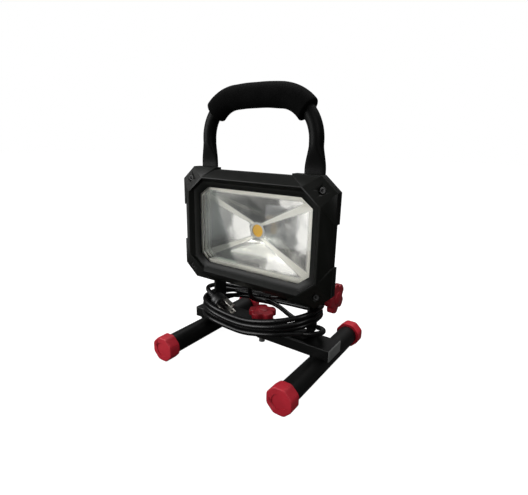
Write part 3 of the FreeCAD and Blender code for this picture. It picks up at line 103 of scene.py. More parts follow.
# ---------------------------------------------------------------- the mains cord
# Lengths and places are in millimetres and angles in degrees, here and below, unless a
# comment says metres.
CORD_D = 6.2
CORD_ROUNDING = 5          # how finely the cord's section is rounded
CORD_STEPS = 10            # steps between two of the points that steer it
LEAD_POINTS = [
    (-20.0, -2.0, 88.5),
    (-20.0, -2.0, 77.0),
    (-18.2, 4.0, 68.6),
    (-11.0, 14.8, 64.4),
    (1.0, 21.6, 62.3),
    (14.0, 22.0, 58.6),
    (28.0, 21.0, 52.4),
    (42.0, 20.6, 48.2),
    (56.0, 20.6, 46.8),
    (69.0, 19.5, 48.0),
    (81.5, 12.5, 51.5),
    (89.0, -0.5, 55.5),
    (88.8, -13.5, 58.5),
    (83.5, -23.0, 60.0),
    (76.0, -28.2, 60.6),
]
JOIN_POINTS = [            # where the lead becomes the coil's first turn
    (66.0, -32.6, 59.2),
    (55.0, -36.0, 57.0),
]
COIL_X = -1.0
COIL_Y = -3.0
COIL_HALF_X = 81.3
COIL_HALF_Y = 40.0
COIL_BACK_HALF_Y = 34.0
COIL_SQUARENESS = 3.1
COIL_LEFT_SQUARENESS = 3.4
COIL_RIGHT_SQUARENESS = 2.4
COIL_FRONT_Z = 53.0
COIL_BACK_Z = 66.0
COIL_LEFT_Z = 57.0
COIL_RIGHT_Z = 73.5
COIL_PITCH = 4.7           # the turns nest into each other in front
COIL_STEP = 14.0           # the plan angle between two of the coil's points
COIL_FIRST = -60.0         # the plan angles of its first point and its last
COIL_LAST = -1318.0
COIL_END_PULL = 1.2        # how late towards its ends the coil comes to their own heights
COIL_MIDDLE_LAP = 1.5      # the turns are stacked evenly about this one
COIL_OUT_IN_Y = 1.6        # the way out of the flattened coil leans this much towards Y
COIL_STRAY = 0.5           # a turn strays this far in a wave ...
STRAY_PER_LAP = 2.3        # ... that is this far on at each new turn, in radians ...
STRAY_PER_ANGLE = 1.7      # ... and runs this fast round a turn
# The spans of the plan angle's sine, or of its cosine's size, over which the coil changes ...
SQUARE_SPAN = (-0.15, 0.30)      # ... its corners, from the front's to the back's
RISE_SPAN = (-0.6, 0.6)          # ... its height, from the front's to the back's
NEST_SPAN = (0.3, 0.9)           # ... from nested turns to turns a whole diameter apart (cosine)
SPREAD_UP_SPAN = (0.38, 0.88)    # ... from stacked turns to the back's upper and lower pair
SPREAD_OUT_SPAN = (0.31, 0.75)   # ... and to its outer and inner one
BACK_OFFSETS = ((3.2, -3.2), (-2.5, -3.2), (3.2, 3.2), (-2.5, 3.2))  # out and up, turn by turn
FOLD_POINTS = [            # behind the yoke the cord folds back, and comes round to the plug
    (-27.0, 26.0, 65.5),
    (-13.0, 21.5, 69.0),
    (1.0, 18.8, 72.0),
    (15.2, 19.5, 75.0),
    (25.5, 29.0, 77.8),
    (25.5, 42.0, 77.6),
    (15.2, 53.5, 72.0),
    (-1.0, 54.5, 67.5),
    (-17.0, 49.5, 65.0),
    (-34.0, 44.0, 63.5),
    (-52.0, 40.5, 63.5),
    (-68.0, 35.0, 64.5),
    (-82.0, 27.0, 67.0),
    (-91.0, 11.5, 71.0),
    (-89.8, -11.6, 73.2),
    (-77.8, -15.1, 69.95),
]


def smooth(low, high, value):
    """0 below low, 1 above high, smooth from one to the other."""
    share = min(1.0, max(0.0, (value - low) / (high - low)))
    return share * share * (3 - 2 * share)


def coil_point(turn):
    """A point of the wound cord at a plan angle: nested in front, two by two behind the yoke."""
    c = math.cos(math.radians(turn))
    s = math.sin(math.radians(turn))
    square = COIL_LEFT_SQUARENESS + (COIL_RIGHT_SQUARENESS - COIL_LEFT_SQUARENESS) * (1 + c) / 2
    square += (COIL_SQUARENESS - square) * smooth(*SQUARE_SPAN, s)
    reach = (abs(c) ** square + abs(s) ** square) ** (-1 / square)
    half_y = COIL_HALF_Y if s < 0 else COIL_BACK_HALF_Y
    side_z = COIL_RIGHT_Z if c > 0 else COIL_LEFT_Z
    z = COIL_FRONT_Z + (COIL_BACK_Z - COIL_FRONT_Z) * smooth(*RISE_SPAN, s)
    z += (side_z - z) * abs(c) ** COIL_END_PULL
    lap = (-turn - 90) / 360
    front = round(lap)
    pitch = COIL_PITCH + (CORD_D - COIL_PITCH) * smooth(*NEST_SPAN, abs(c))
    nested = (-1) ** front * math.sqrt(max(0.0, CORD_D ** 2 - pitch ** 2)) / 2
    stacked = (front - COIL_MIDDLE_LAP) * pitch
    back_out, back_up = BACK_OFFSETS[min(len(BACK_OFFSETS) - 1, max(0, math.floor(lap)))]
    spread_up = smooth(*SPREAD_UP_SPAN, s)
    spread_out = smooth(*SPREAD_OUT_SPAN, s)
    stray = STRAY_PER_LAP * front + STRAY_PER_ANGLE * math.radians(turn)
    loose = COIL_STRAY * math.sin(stray) * (1 - spread_out)
    z += stacked + (back_up - stacked) * spread_up
    out = nested + loose + (back_out - nested) * spread_out
    outward = Vector((c, s * COIL_OUT_IN_Y)).normalized() * out
    x = COIL_X + COIL_HALF_X * reach * c + outward.x
    y = COIL_Y + half_y * reach * s + outward.y
    return (x, y, z)


def cord_curve(name, points, bevel):
    """A smooth curve that the given points, in millimetres, steer."""
    data = bpy.data.curves.new(name, "CURVE")
    data.dimensions = "3D"
    data.resolution_u = CORD_STEPS
    spline = data.splines.new("NURBS")
    spline.points.add(len(points) - 1)
    for handle, point in zip(spline.points, points):
        handle.co = (*(Vector(point) * MM), 1)
    spline.order_u = 3
    spline.use_endpoint_u = True
    if bevel:
        data.bevel_depth = CORD_D / 2 * MM
        data.bevel_resolution = CORD_ROUNDING
        data.use_fill_caps = True
    piece = bpy.data.objects.new(name, data)
    scene.collection.objects.link(piece)
    return piece


def points_of(curve):
    """The points along a bare curve's line, in metres."""
    bpy.context.view_layer.update()
    line = bpy.data.meshes.new_from_object(curve)
    found = [vertex.co.copy() for vertex in line.vertices]
    bpy.data.meshes.remove(line)
    return found


def tube_along(name, path, radius):
    """A mesh tube with closed ends along a path in metres."""
    data = bpy.data.curves.new(name, "CURVE")
    data.dimensions = "3D"
    spline = data.splines.new("POLY")
    spline.points.add(len(path) - 1)
    for handle, point in zip(spline.points, path):
        handle.co = (*point, 1)
    data.bevel_depth = radius
    data.bevel_resolution = CORD_ROUNDING
    data.use_fill_caps = True
    guide = bpy.data.objects.new(name + "_guide", data)
    scene.collection.objects.link(guide)
    bpy.context.view_layer.update()
    mesh = bpy.data.meshes.new_from_object(guide)
    bpy.data.objects.remove(guide)
    mesh.shade_smooth()
    piece = bpy.data.objects.new(name, mesh)
    scene.collection.objects.link(piece)
    return piece


lead_guide = cord_curve("lead_guide", LEAD_POINTS, bevel=False)
lead_path = points_of(lead_guide)
bpy.data.objects.remove(lead_guide)
mains_lead = tube_along("mains_lead", lead_path, CORD_D / 2 * MM)

coil_points = [LEAD_POINTS[-1], *JOIN_POINTS]
turn = COIL_FIRST
while turn > COIL_LAST:
    coil_points.append(coil_point(turn))
    turn -= COIL_STEP
coil_points += FOLD_POINTS
mains_coil = cord_curve("mains_coil", coil_points, bevel=True)


# ---------------------------------------------------------------- shaders
class Value:
    """A number that changes over a surface. Arithmetic on it adds Math nodes."""

    def __init__(self, finish, socket):
        self.finish = finish
        self.socket = socket

    def math(self, operation, *inputs):
        return self.finish.node("ShaderNodeMath", {"operation": operation}, dict(enumerate(inputs)))

    def __add__(self, other):
        return self.math("ADD", self, other)

    def __radd__(self, other):
        return self.math("ADD", other, self)

    def __sub__(self, other):
        return self.math("SUBTRACT", self, other)

    def __rsub__(self, other):
        return self.math("SUBTRACT", other, self)

    def __mul__(self, other):
        return self.math("MULTIPLY", self, other)

    def __rmul__(self, other):
        return self.math("MULTIPLY", other, self)

    def __truediv__(self, other):
        return self.math("DIVIDE", self, other)

    def size(self):
        """The value without its sign."""
        return self.math("ABSOLUTE", self)

    def between(self, low, high):
        """0 below low, 1 above high, smooth from one to the other."""
        settings = {"interpolation_type": "SMOOTHSTEP"}
        inputs = {"Value": self, "From Min": low, "From Max": high}
        return self.finish.node("ShaderNodeMapRange", settings, inputs)


class Finish:
    """A surface finish: a Principled shader with a method for each kind of node that feeds it."""

    def __init__(self, name, colour, roughness, metallic=0.0, **plain):
        self.material = bpy.data.materials.new(name)
        self.material.use_nodes = True
        self.tree = self.material.node_tree
        self.shader = self.tree.nodes["Principled BSDF"]
        self.place = self.node("ShaderNodeTexCoord", {}, {}, "Object")
        self.colour = colour
        self.feed("Base Color", (*colour, 1))
        self.feed("Roughness", roughness)
        self.feed("Metallic", metallic)
        for words, value in plain.items():
            self.feed(words.replace("_", " ").title().replace("Ior", "IOR"), value)

    def node(self, kind, settings, inputs, output=0):
        """Adds a node, sets it up, then gives its sockets their values or links."""
        added = self.tree.nodes.new(kind)
        for word, setting in settings.items():
            setattr(added, word, setting)
        for key, given in inputs.items():
            self.join(added.inputs[key], given)
        return Value(self, added.outputs[output])

    def join(self, socket, given):
        if isinstance(given, Value):
            self.tree.links.new(given.socket, socket)
        else:
            socket.default_value = given

    def feed(self, name, given):
        self.join(self.shader.inputs[name], given)

    def noise(self, size, detail=2.0, rough=0.5, stretch=(1, 1, 1)):
        """Cloudy noise whose patches are about size millimetres across."""
        stretched = self.node("ShaderNodeMapping", {}, {"Vector": self.place, "Scale": stretch})
        inputs = {"Vector": stretched, "Scale": 1 / (size * MM)}
        inputs |= {"Detail": detail, "Roughness": rough}
        return self.node("ShaderNodeTexNoise", {}, inputs, "Fac")

    def cells(self, size, feature="F1"):
        """How far off the nearest centre, or edge, of cells about size millimetres across is."""
        inputs = {"Vector": self.place, "Scale": 1 / (size * MM)}
        return self.node("ShaderNodeTexVoronoi", {"feature": feature}, inputs, "Distance")

    def axis(self, name):
        """A coordinate in millimetres."""
        return self.node("ShaderNodeSeparateXYZ", {}, {0: self.place}, name.upper()) / MM

    def rays(self, kind):
        """1 for rays of one kind, such as Camera or Glossy, and 0 for others."""
        return self.node("ShaderNodeLightPath", {}, {}, f"Is {kind} Ray")

    def mixed(self, share, colour_0, colour_1):
        """A colour between two, by a share that changes over the surface."""
        return self.node(
            "ShaderNodeMix",
            {"data_type": "RGBA"},
            {"Factor": share, 6: self.full(colour_0), 7: self.full(colour_1)},
            2,
        )

    def full(self, colour):
        return colour if isinstance(colour, Value) else (*colour, 1)

    def paint(self, share, colour):
        """Lays a second colour over the finish by share."""
        self.colour = self.mixed(share, self.colour, colour)
        self.feed("Base Color", self.colour)

    def bump(self, height, depth, strength=1.0):
        """Relief of about depth millimetres, on top of any given before."""
        inputs = {"Height": height, "Distance": depth * MM, "Strength": strength}
        if self.shader.inputs["Normal"].links:
            inputs["Normal"] = Value(self, self.shader.inputs["Normal"].links[0].from_socket)
        self.feed("Normal", self.node("ShaderNodeBump", {}, inputs, "Normal"))


def clouded(finish, roughness, clouds, cloud_share, grain, grain_share):
    """Lets the gloss vary about its mean with two noises, whose own mean is a half."""
    varied = roughness + (clouds - 0.5) * cloud_share + (grain - 0.5) * grain_share
    finish.feed("Roughness", varied)


def scaled(colour, factor, lift=0.0):
    return tuple(channel * factor + lift for channel in colour)


DUSTY = 0.0006             # how much a black finish's pale clouds are lifted


def moulded(name, colour, roughness, grain, depth, **plain):
    """Textured moulding: fine grain, with slight clouds in its gloss and colour."""
    finish = Finish(name, colour, roughness, **plain)
    fine = finish.noise(grain, detail=3.0, rough=0.6)
    clouds = finish.noise(22)
    clouded(finish, roughness, clouds, 0.16, fine, 0.10)
    finish.paint(clouds.between(0.35, 0.8) * 0.5, scaled(colour, 1.4, DUSTY))
    finish.bump(fine, depth)
    return finish


def powder_coat(name, colour, roughness, **plain):
    """Baked powder paint on steel: orange peel under a fine speckle."""
    finish = Finish(name, colour, roughness, **plain)
    peel = finish.noise(1.6, detail=1.0, rough=0.4)
    speck = finish.noise(0.35, detail=2.0, rough=0.6)
    clouds = finish.noise(35)
    clouded(finish, roughness, clouds, 0.14, speck, 0.12)
    finish.paint(clouds.between(0.4, 0.8) * 0.4, scaled(colour, 1.5, DUSTY))
    finish.bump(peel, 0.05)
    finish.bump(speck, 0.02)
    return finish


def bare_metal(name, colour, roughness, brushed=(1, 1, 1)):
    """Plated or machined metal with fine marks and slight clouding."""
    finish = Finish(name, colour, roughness, metallic=1.0)
    marks = finish.noise(0.6, detail=3.0, rough=0.6, stretch=brushed)
    clouds = finish.noise(9)
    clouded(finish, roughness, clouds, 0.18, marks, 0.12)
    finish.paint(clouds.between(0.45, 0.85) * 0.6, scaled(colour, 0.72))
    finish.bump(marks, 0.01)
    return finish


bezel_black = moulded(
    "bezel_black", (0.0024, 0.0027, 0.0021), roughness=0.40, grain=0.55, depth=0.03,
    specular_ior_level=0.13,
)
housing_black = moulded(
    "housing_black", (0.0026, 0.0028, 0.0024), roughness=0.55, grain=0.8, depth=0.06,
    specular_ior_level=0.12,
)
tube_black = powder_coat(
    "tube_black", (0.0022, 0.0023, 0.0022), roughness=0.40, specular_ior_level=0.20
)
# The handle has the same powder coat as the tubes; this darker, less glossy copy is painted shade.
handle_shaded_black = powder_coat(
    "handle_shaded_black", (0.0016, 0.0017, 0.0016), roughness=0.50, specular_ior_level=0.07
)
cap_red = moulded(
    "cap_red", (0.29, 0.008, 0.017), roughness=0.50, grain=0.6, depth=0.02,
    specular_ior_level=0.3,
)
knob_red = moulded(
    "knob_red", (0.17, 0.006, 0.011), roughness=0.42, grain=0.7, depth=0.02,
    specular_ior_level=0.2,
)
plain_black = moulded(
    "plain_black", (0.007, 0.007, 0.007), roughness=0.45, grain=0.5, depth=0.02,
    specular_ior_level=0.3,
)
plug_grey = moulded(
    "plug_grey", (0.080, 0.083, 0.080), roughness=0.5, grain=0.5, depth=0.02
)
zinc = bare_metal("zinc", (0.56, 0.56, 0.55), roughness=0.34)
nickel = bare_metal("nickel", (0.84, 0.81, 0.74), roughness=0.34, brushed=(1, 1, 3))
brass = bare_metal("brass", (0.78, 0.55, 0.25), roughness=0.32)
aluminium = bare_metal("aluminium", (0.72, 0.73, 0.74), roughness=0.38, brushed=(8, 1, 1))
white_plastic = moulded(
    "white_plastic", (0.74, 0.74, 0.72), roughness=0.45, grain=0.5, depth=0.01
)
component_black = moulded(
    "component_black", (0.015, 0.015, 0.016), roughness=0.5, grain=0.6, depth=0.02
)
wire_red = moulded("wire_red", (0.45, 0.02, 0.02), roughness=0.45, grain=0.5, depth=0.01)
rocker_black = moulded(
    "rocker_black", (0.012, 0.012, 0.012), roughness=0.35, grain=0.9, depth=0.01
)
gland_black = moulded(
    "gland_black", (0.011, 0.011, 0.012), roughness=0.48, grain=0.7, depth=0.03
)
seal_rubber = moulded(
    "seal_rubber", (0.010, 0.010, 0.010), roughness=0.72, grain=0.5, depth=0.03,
    specular_ior_level=0.35,
)
plug_black = moulded(
    "plug_black", (0.0036, 0.0036, 0.0038), roughness=0.40, grain=0.8, depth=0.04,
    specular_ior_level=0.3,
)

foam_black = Finish("foam_black", (0.0013, 0.0013, 0.0013), 0.90, specular_ior_level=0.04)
foam_pores = foam_black.cells(0.9)
foam_clouds = foam_black.noise(14, detail=3.0, rough=0.55)
foam_black.paint(foam_clouds.between(0.35, 0.75) * 0.7, (0.0026, 0.0026, 0.0026))
foam_black.feed("Roughness", 0.84 + foam_pores * 0.14)
foam_black.bump(foam_pores, depth=0.22)
foam_black.bump(foam_clouds, depth=0.5, strength=0.5)

cord_black = Finish("cord_black", (0.0016, 0.0016, 0.0017), 0.26, specular_ior_level=0.20)
cord_fine = cord_black.noise(3.0)
cord_clouds = cord_black.noise(12)
cord_black.feed("Roughness", 0.20 + cord_clouds * 0.16)
cord_black.paint(cord_clouds.between(0.5, 0.8) * 0.5, (0.0028, 0.0028, 0.0030))
cord_black.bump(cord_fine, depth=0.04)

LAMP_Z = 168.5
# The reflector's corner faces and its flat rim carry a painted highlight; the values below set
# where it lies.
HUB_CORNER = 10.5          # the reflector's narrow corner faces run from the hub's corners ...
CORNER_RUN = (59.5, 27.0)  # ... this far out to the dish's corners ...
CORNER_SPREAD = 0.045      # ... widen by this much of their way there ...
CORNER_FADE = (1.4, 3.0)   # ... and end between these distances from their middle
FLANGE_FADE = (0.3, 1.0)   # the flat rim ends between these depths behind the reflector's front
reflector_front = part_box("reflector")[0].y / MM

chrome = Finish("chrome", (0.82, 0.81, 0.77), 0.09, metallic=1.0)
chrome_waves = chrome.noise(16, detail=1.0, rough=0.3)
chrome_fine = chrome.noise(0.8, detail=2.0, rough=0.6)
out_x = chrome.axis("x").size() - HUB_CORNER
out_z = (chrome.axis("z") - LAMP_Z).size() - HUB_CORNER
off_corner = (out_x * CORNER_RUN[1] - out_z * CORNER_RUN[0]).size() / math.hypot(*CORNER_RUN)
corner = 1 - (off_corner - out_x * CORNER_SPREAD).between(*CORNER_FADE)
flange = 1 - chrome.axis("y").between(*(reflector_front + depth for depth in FLANGE_FADE))
# Painted highlight: the corner faces and the flat rim are painted pale cream, made less metallic
# and rougher, for the light their rounded edges catch.
painted_highlight_bands = corner.math("MAXIMUM", corner, flange)
chrome.paint(painted_highlight_bands, (0.90, 0.88, 0.79))
chrome.feed("Metallic", 1 - painted_highlight_bands * 0.7)
chrome.feed("Roughness", 0.06 + chrome_waves * 0.06 + painted_highlight_bands * 0.2)
chrome.bump(chrome_waves, depth=0.20)
chrome.bump(chrome_fine, depth=0.004)

GLASS_INDEX = 1.5
glass = Finish("lens_clear", (0.93, 0.96, 0.95), 0.02, metallic=1.0)
sheen_of_glass = glass.node("ShaderNodeFresnel", {}, {"IOR": GLASS_INDEX})
smear = glass.noise(30, detail=3.0, rough=0.6, stretch=(1, 1, 3))
glass.feed("Alpha", sheen_of_glass * 0.9 + smear.between(0.5, 0.9) * 0.015)
glass.feed("Roughness", 0.02 + smear * 0.04)

# The LED is off; its faint emission is a painted glow that brightens it beyond the light it gets.
phosphor = Finish(
    "phosphor", (0.88, 0.48, 0.015), 0.55,
    emission_color=(0.9, 0.42, 0.01, 1), emission_strength=0.1,
)
dice = phosphor.cells(1.7)
phosphor.paint(dice.between(0.25, 0.75) * 0.4, (0.92, 0.60, 0.05))
phosphor.feed("Roughness", 0.46 + dice * 0.2)
phosphor.bump(dice, depth=0.12)

board_white = Finish("board_white", (0.72, 0.73, 0.70), 0.4)
board_marks = board_white.noise(3.5)
board_white.paint(board_marks.between(0.5, 0.7) * 0.4, (0.60, 0.62, 0.60))
board_white.feed("Roughness", 0.36 + board_marks * 0.12)

board_green = Finish("board_green", (0.02, 0.16, 0.07), 0.4)
tracks = board_green.cells(5.0, "DISTANCE_TO_EDGE")
board_green.paint(1 - tracks.between(0.04, 0.09), (0.05, 0.26, 0.12))
board_green.feed("Roughness", 0.34 + tracks * 0.3)
board_green.bump(tracks, depth=0.05)

NODE_FINISHES = {
    "foot_tube_left": tube_black, "foot_tube_right": tube_black, "crossbar": tube_black,
    "foot_cap_front_left": cap_red, "foot_cap_front_right": cap_red,
    "foot_cap_rear_left": cap_red, "foot_cap_rear_right": cap_red,
    "crossbar_plug_left": plug_grey, "crossbar_plug_right": plug_grey, "foot_welds": tube_black,
    "crush_sleeve": zinc, "swivel_nut": zinc, "swivel_pad": plain_black,
    "base_stud": zinc, "base_washer": zinc, "yoke": tube_black, "tilt_bolts": zinc,
    "friction_discs": plain_black, "plug_blades": nickel, "plug_ground_pin": nickel,
    "knob_insert_left": brass, "knob_insert_right": brass,
    "tilt_washer_left": zinc, "tilt_washer_right": zinc,
    "front_bezel": bezel_black, "rear_housing": housing_black, "housing_seal": seal_rubber,
    "lens_glass": glass, "lens_gasket": seal_rubber, "reflector": chrome,
    "led_field": phosphor, "led_ring": white_plastic, "led_board": board_white,
    "led_screws": zinc, "heat_spreader": aluminium, "spreader_screws": zinc,
    "driver_board": board_green, "driver_screws": zinc, "driver_parts": component_black,
    "led_leads": wire_red, "bezel_screws": plain_black,
    "switch_body": rocker_black, "switch_rocker": rocker_black,
    "cable_gland": gland_black, "gland_cap": gland_black, "gland_locknut": gland_black,
    "cord_inlet": cord_black, "handle_tube": handle_shaded_black,
    "handle_screws": plain_black, "handle_washers": zinc,
}
for name, finish in NODE_FINISHES.items():
    for material_slot in nodes[name].material_slots:
        material_slot.material = finish.material


# ---------------------------------------------------------------- making pieces
BODY_OF = {
    member: body
    for body, members in frame["record"]["behaviour"]["bodies"].items()
    for member in members
}


def make_piece(name, form, finish, body, stands_for, crease):
    """Turns a bmesh into a piece that rides on a body; edges sharper than crease stay crisp."""
    mesh = bpy.data.meshes.new(name)
    form.to_mesh(mesh)
    form.free()
    mesh.shade_smooth()
    mesh.set_sharp_from_angle(angle=math.radians(crease))
    mesh.materials.append(finish.material)
    piece = bpy.data.objects.new(name, mesh)
    scene.collection.objects.link(piece)
    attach(piece, body)
    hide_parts(*stands_for)
    return piece


FLAT_WITHIN = 0.6          # faces that turn less than this are one flat face
EDGE_CREASE = 30           # edges sharper than this are rounded over ...
EDGE_LENGTHS = 3.0         # ... where they are longer than this many times the rounding
EDGE_STEPS = 2


def refined(node, rounding):
    """Stands in for a CAD node: its doubles merged, its edges rounded, its round faces smooth."""
    form = bmesh.new()
    form.from_mesh(nodes[node].data)
    bmesh.ops.remove_doubles(form, verts=form.verts[:], dist=SAME_SPOT)
    bmesh.ops.dissolve_limit(
        form, angle_limit=math.radians(FLAT_WITHIN),
        verts=form.verts[:], edges=form.edges[:], delimit=set(),
    )
    if rounding:
        sharp = []
        for line in form.edges:
            if line.is_manifold and line.calc_face_angle() > math.radians(EDGE_CREASE):
                if line.calc_length() > EDGE_LENGTHS * rounding * MM:
                    sharp.append(line)
        bmesh.ops.bevel(
            form, geom=sharp, offset=rounding * MM, offset_type="OFFSET", affect="EDGES",
            segments=EDGE_STEPS, profile=0.5, material=-1, clamp_overlap=True,
        )
    make_piece(node + "_shell", form, NODE_FINISHES[node], BODY_OF[node], [node], EDGE_CREASE)


def turned(form, profile, steps=64):
    """Spins a closed half outline, pairs of radius and height, about the Z axis."""
    verts = [form.verts.new((radius * MM, 0, height * MM)) for radius, height in profile]
    edges = [form.edges.new(pair) for pair in zip(verts, verts[1:])]
    bmesh.ops.spin(
        form, geom=verts + edges, cent=(0, 0, 0), axis=(0, 0, 1), dvec=(0, 0, 0),
        angle=math.tau, steps=steps, use_merge=True,
    )
    bmesh.ops.remove_doubles(form, verts=form.verts[:], dist=SAME_SPOT)
    bmesh.ops.recalc_face_normals(form, faces=form.faces[:])


def stood(form, at, axis, turn=0.0):
    """Stands a form that was made about the Z axis at a point, along axis and turned about it."""
    place = Matrix.Translation(Vector(at) * MM)
    upright = UP.rotation_difference(Vector(axis)).to_matrix().to_4x4()
    spin = Matrix.Rotation(math.radians(turn), 4, "Z")
    bmesh.ops.transform(form, matrix=place @ (upright @ spin), verts=form.verts[:])


# ---------------------------------------------------------------- shells over the CAD parts
EDGE_ROUNDINGS = {
    "front_bezel": 0.45, "rear_housing": 0.5, "yoke": 0.5, "crossbar": 0.0,
    "crossbar_plug_left": 0.3, "crossbar_plug_right": 0.3,
    "foot_tube_left": 0.0, "foot_tube_right": 0.0, "handle_tube": 0.0,
    "foot_cap_front_left": 0.0, "foot_cap_front_right": 0.0,
    "foot_cap_rear_left": 0.0, "foot_cap_rear_right": 0.0,
    "foot_welds": 0.0, "switch_body": 0.4, "switch_rocker": 0.4,
    "cable_gland": 0.0, "gland_cap": 0.4, "bezel_screws": 0.2, "handle_screws": 0.4,
    "friction_discs": 0.3, "base_washer": 0.2,
    "tilt_washer_left": 0.2, "tilt_washer_right": 0.2, "tilt_bolts": 0.3,
    "swivel_nut": 0.4, "swivel_pad": 0.3, "base_stud": 0.0, "led_ring": 0.2,
    "led_field": 0.0, "reflector": 0.0, "plug_blades": 0.2, "plug_ground_pin": 0.0,
}
for node, rounding in EDGE_ROUNDINGS.items():
    refined(node, rounding)


# ---------------------------------------------------------------- knobs
KNOB_R = 18.0
KNOB_LOBE_R = 5.9
KNOB_LOBES = 5
KNOB_HOLLOW_R = 12.5
KNOB_WEB_OFF = 8           # beyond this angle from its middle a lobe has a web at its foot ...
KNOB_WEB_SLOPE = 0.2       # ... whose sides lean at least this much
KNOB_BLEND = 5.0           # how crisply the lobes and the round middle meet
KNOB_LOBE_HEIGHT = 8.5
KNOB_FACES = 144           # round its outline
KNOB_SMOOTHINGS = 6
KNOB_EDGE = 1.5            # the rounding of its rims ...
KNOB_EDGE_STEPS = 5
KNOB_RIM_CREASE = 60       # ... which are the edges sharper than this
KNOB_SKIRT_R = 10.5
KNOB_SKIRT_HEIGHT = 4.3
KNOB_SKIRT_SINK = 1.2      # how far the skirt goes into the lobes
KNOB_DOME_R = 8.0
KNOB_DOME_HEIGHT = 2.5
KNOB_DOME_STEPS = 8        # of 10 degrees each
KNOB_DOME_STEP = 10
KNOB_DOME_FOOT = 0.2       # the dome begins this far up, on a small step
KNOB_CREASE = 40
BASE_KNOB_TURN = -20
TILT_KNOB_TURN = -18


def lobed_radius(angle):
    """The five-lobed outline: round lobes that run into a round middle through soft hollows."""
    lobe_at = KNOB_R - KNOB_LOBE_R
    half_step = 180 / KNOB_LOBES
    off = (math.degrees(angle) + half_step) % (2 * half_step) - half_step
    across = lobe_at * math.sin(math.radians(off))
    along = lobe_at * math.cos(math.radians(off))
    lobe = 0.0
    if abs(across) < KNOB_LOBE_R:
        lobe = along + math.sqrt(max(0.0, KNOB_LOBE_R ** 2 - across ** 2))
    web = lobe
    if abs(off) > KNOB_WEB_OFF:
        web = KNOB_LOBE_R / max(KNOB_WEB_SLOPE, abs(math.sin(math.radians(off))))
    arm = max(lobe, min(web, KNOB_R))
    blended = (arm ** KNOB_BLEND + KNOB_HOLLOW_R ** KNOB_BLEND) ** (1 / KNOB_BLEND)
    return min(blended, KNOB_R)


def knob_form():
    """A knob about the Z axis, from its skirt at zero to its dome: lobes, dome and skirt."""
    form = bmesh.new()
    bmesh.ops.create_circle(form, cap_ends=True, segments=KNOB_FACES, radius=KNOB_R * MM)
    for vert in form.verts:
        vert.co *= lobed_radius(math.atan2(vert.co.y, vert.co.x)) / KNOB_R
    for _ in range(KNOB_SMOOTHINGS):
        bmesh.ops.smooth_vert(
            form, verts=form.verts[:], factor=0.5,
            use_axis_x=True, use_axis_y=True, use_axis_z=False,
        )
    raised = bmesh.ops.extrude_face_region(form, geom=form.faces[:])
    lifted = [item for item in raised["geom"] if isinstance(item, bmesh.types.BMVert)]
    bmesh.ops.translate(form, verts=lifted, vec=(0, 0, KNOB_LOBE_HEIGHT * MM))
    bmesh.ops.recalc_face_normals(form, faces=form.faces[:])
    crease = math.radians(KNOB_RIM_CREASE)
    rims = [line for line in form.edges if line.calc_face_angle(0) > crease]
    bmesh.ops.bevel(
        form, geom=rims, offset=KNOB_EDGE * MM, offset_type="OFFSET", affect="EDGES",
        segments=KNOB_EDGE_STEPS, profile=0.5, material=-1,
    )
    bmesh.ops.translate(form, verts=form.verts[:], vec=(0, 0, KNOB_SKIRT_HEIGHT * MM))

    top = KNOB_SKIRT_HEIGHT + KNOB_LOBE_HEIGHT
    dome = [
        (0, top - 1), (KNOB_DOME_R + 1.0, top - 1),
        (KNOB_DOME_R + 0.9, top), (KNOB_DOME_R + 0.3, top + 0.25),
    ]
    rise = KNOB_DOME_HEIGHT - KNOB_DOME_FOOT
    for step in range(KNOB_DOME_STEPS + 1):
        angle = math.radians(KNOB_DOME_STEP * step)
        height = top + KNOB_DOME_FOOT + rise * math.sin(angle)
        dome.append((KNOB_DOME_R * math.cos(angle), height))
    dome.append((0, top + KNOB_DOME_HEIGHT))
    cap = bmesh.new()
    turned(cap, dome)
    join(form, cap)

    skirt_top = KNOB_SKIRT_HEIGHT + KNOB_SKIRT_SINK
    skirt = bmesh.new()
    turned(skirt, [
        (0, 0), (KNOB_SKIRT_R - 1.5, 0), (KNOB_SKIRT_R - 0.9, 0.4),
        (KNOB_SKIRT_R - 0.5, 2.4), (KNOB_SKIRT_R, skirt_top), (0, skirt_top),
    ])
    join(form, skirt)
    return form


def join(form, other):
    """Adds another form's surfaces to the first."""
    holder = bpy.data.meshes.new("holder")
    other.to_mesh(holder)
    other.free()
    form.from_mesh(holder)
    bpy.data.meshes.remove(holder)


def knob(name, node, at, axis, turn):
    form = knob_form()
    stood(form, at, axis, turn)
    make_piece(name, form, knob_red, BODY_OF[node], [node], KNOB_CREASE)


base_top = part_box("base_washer")[1].z / MM
right_low, right_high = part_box("tilt_washer_right")
tilt_x = right_high.x / MM
tilt_z = (right_low.z + right_high.z) / 2 / MM
knob("base_knob_clover", "base_knob", (0, 0, base_top), (0, 0, 1), BASE_KNOB_TURN)
knob("right_knob_clover", "tilt_knob_right", (tilt_x, 0, tilt_z), (1, 0, 0), TILT_KNOB_TURN)
knob("left_knob_clover", "tilt_knob_left", (-tilt_x, 0, tilt_z), (-1, 0, 0), -TILT_KNOB_TURN)


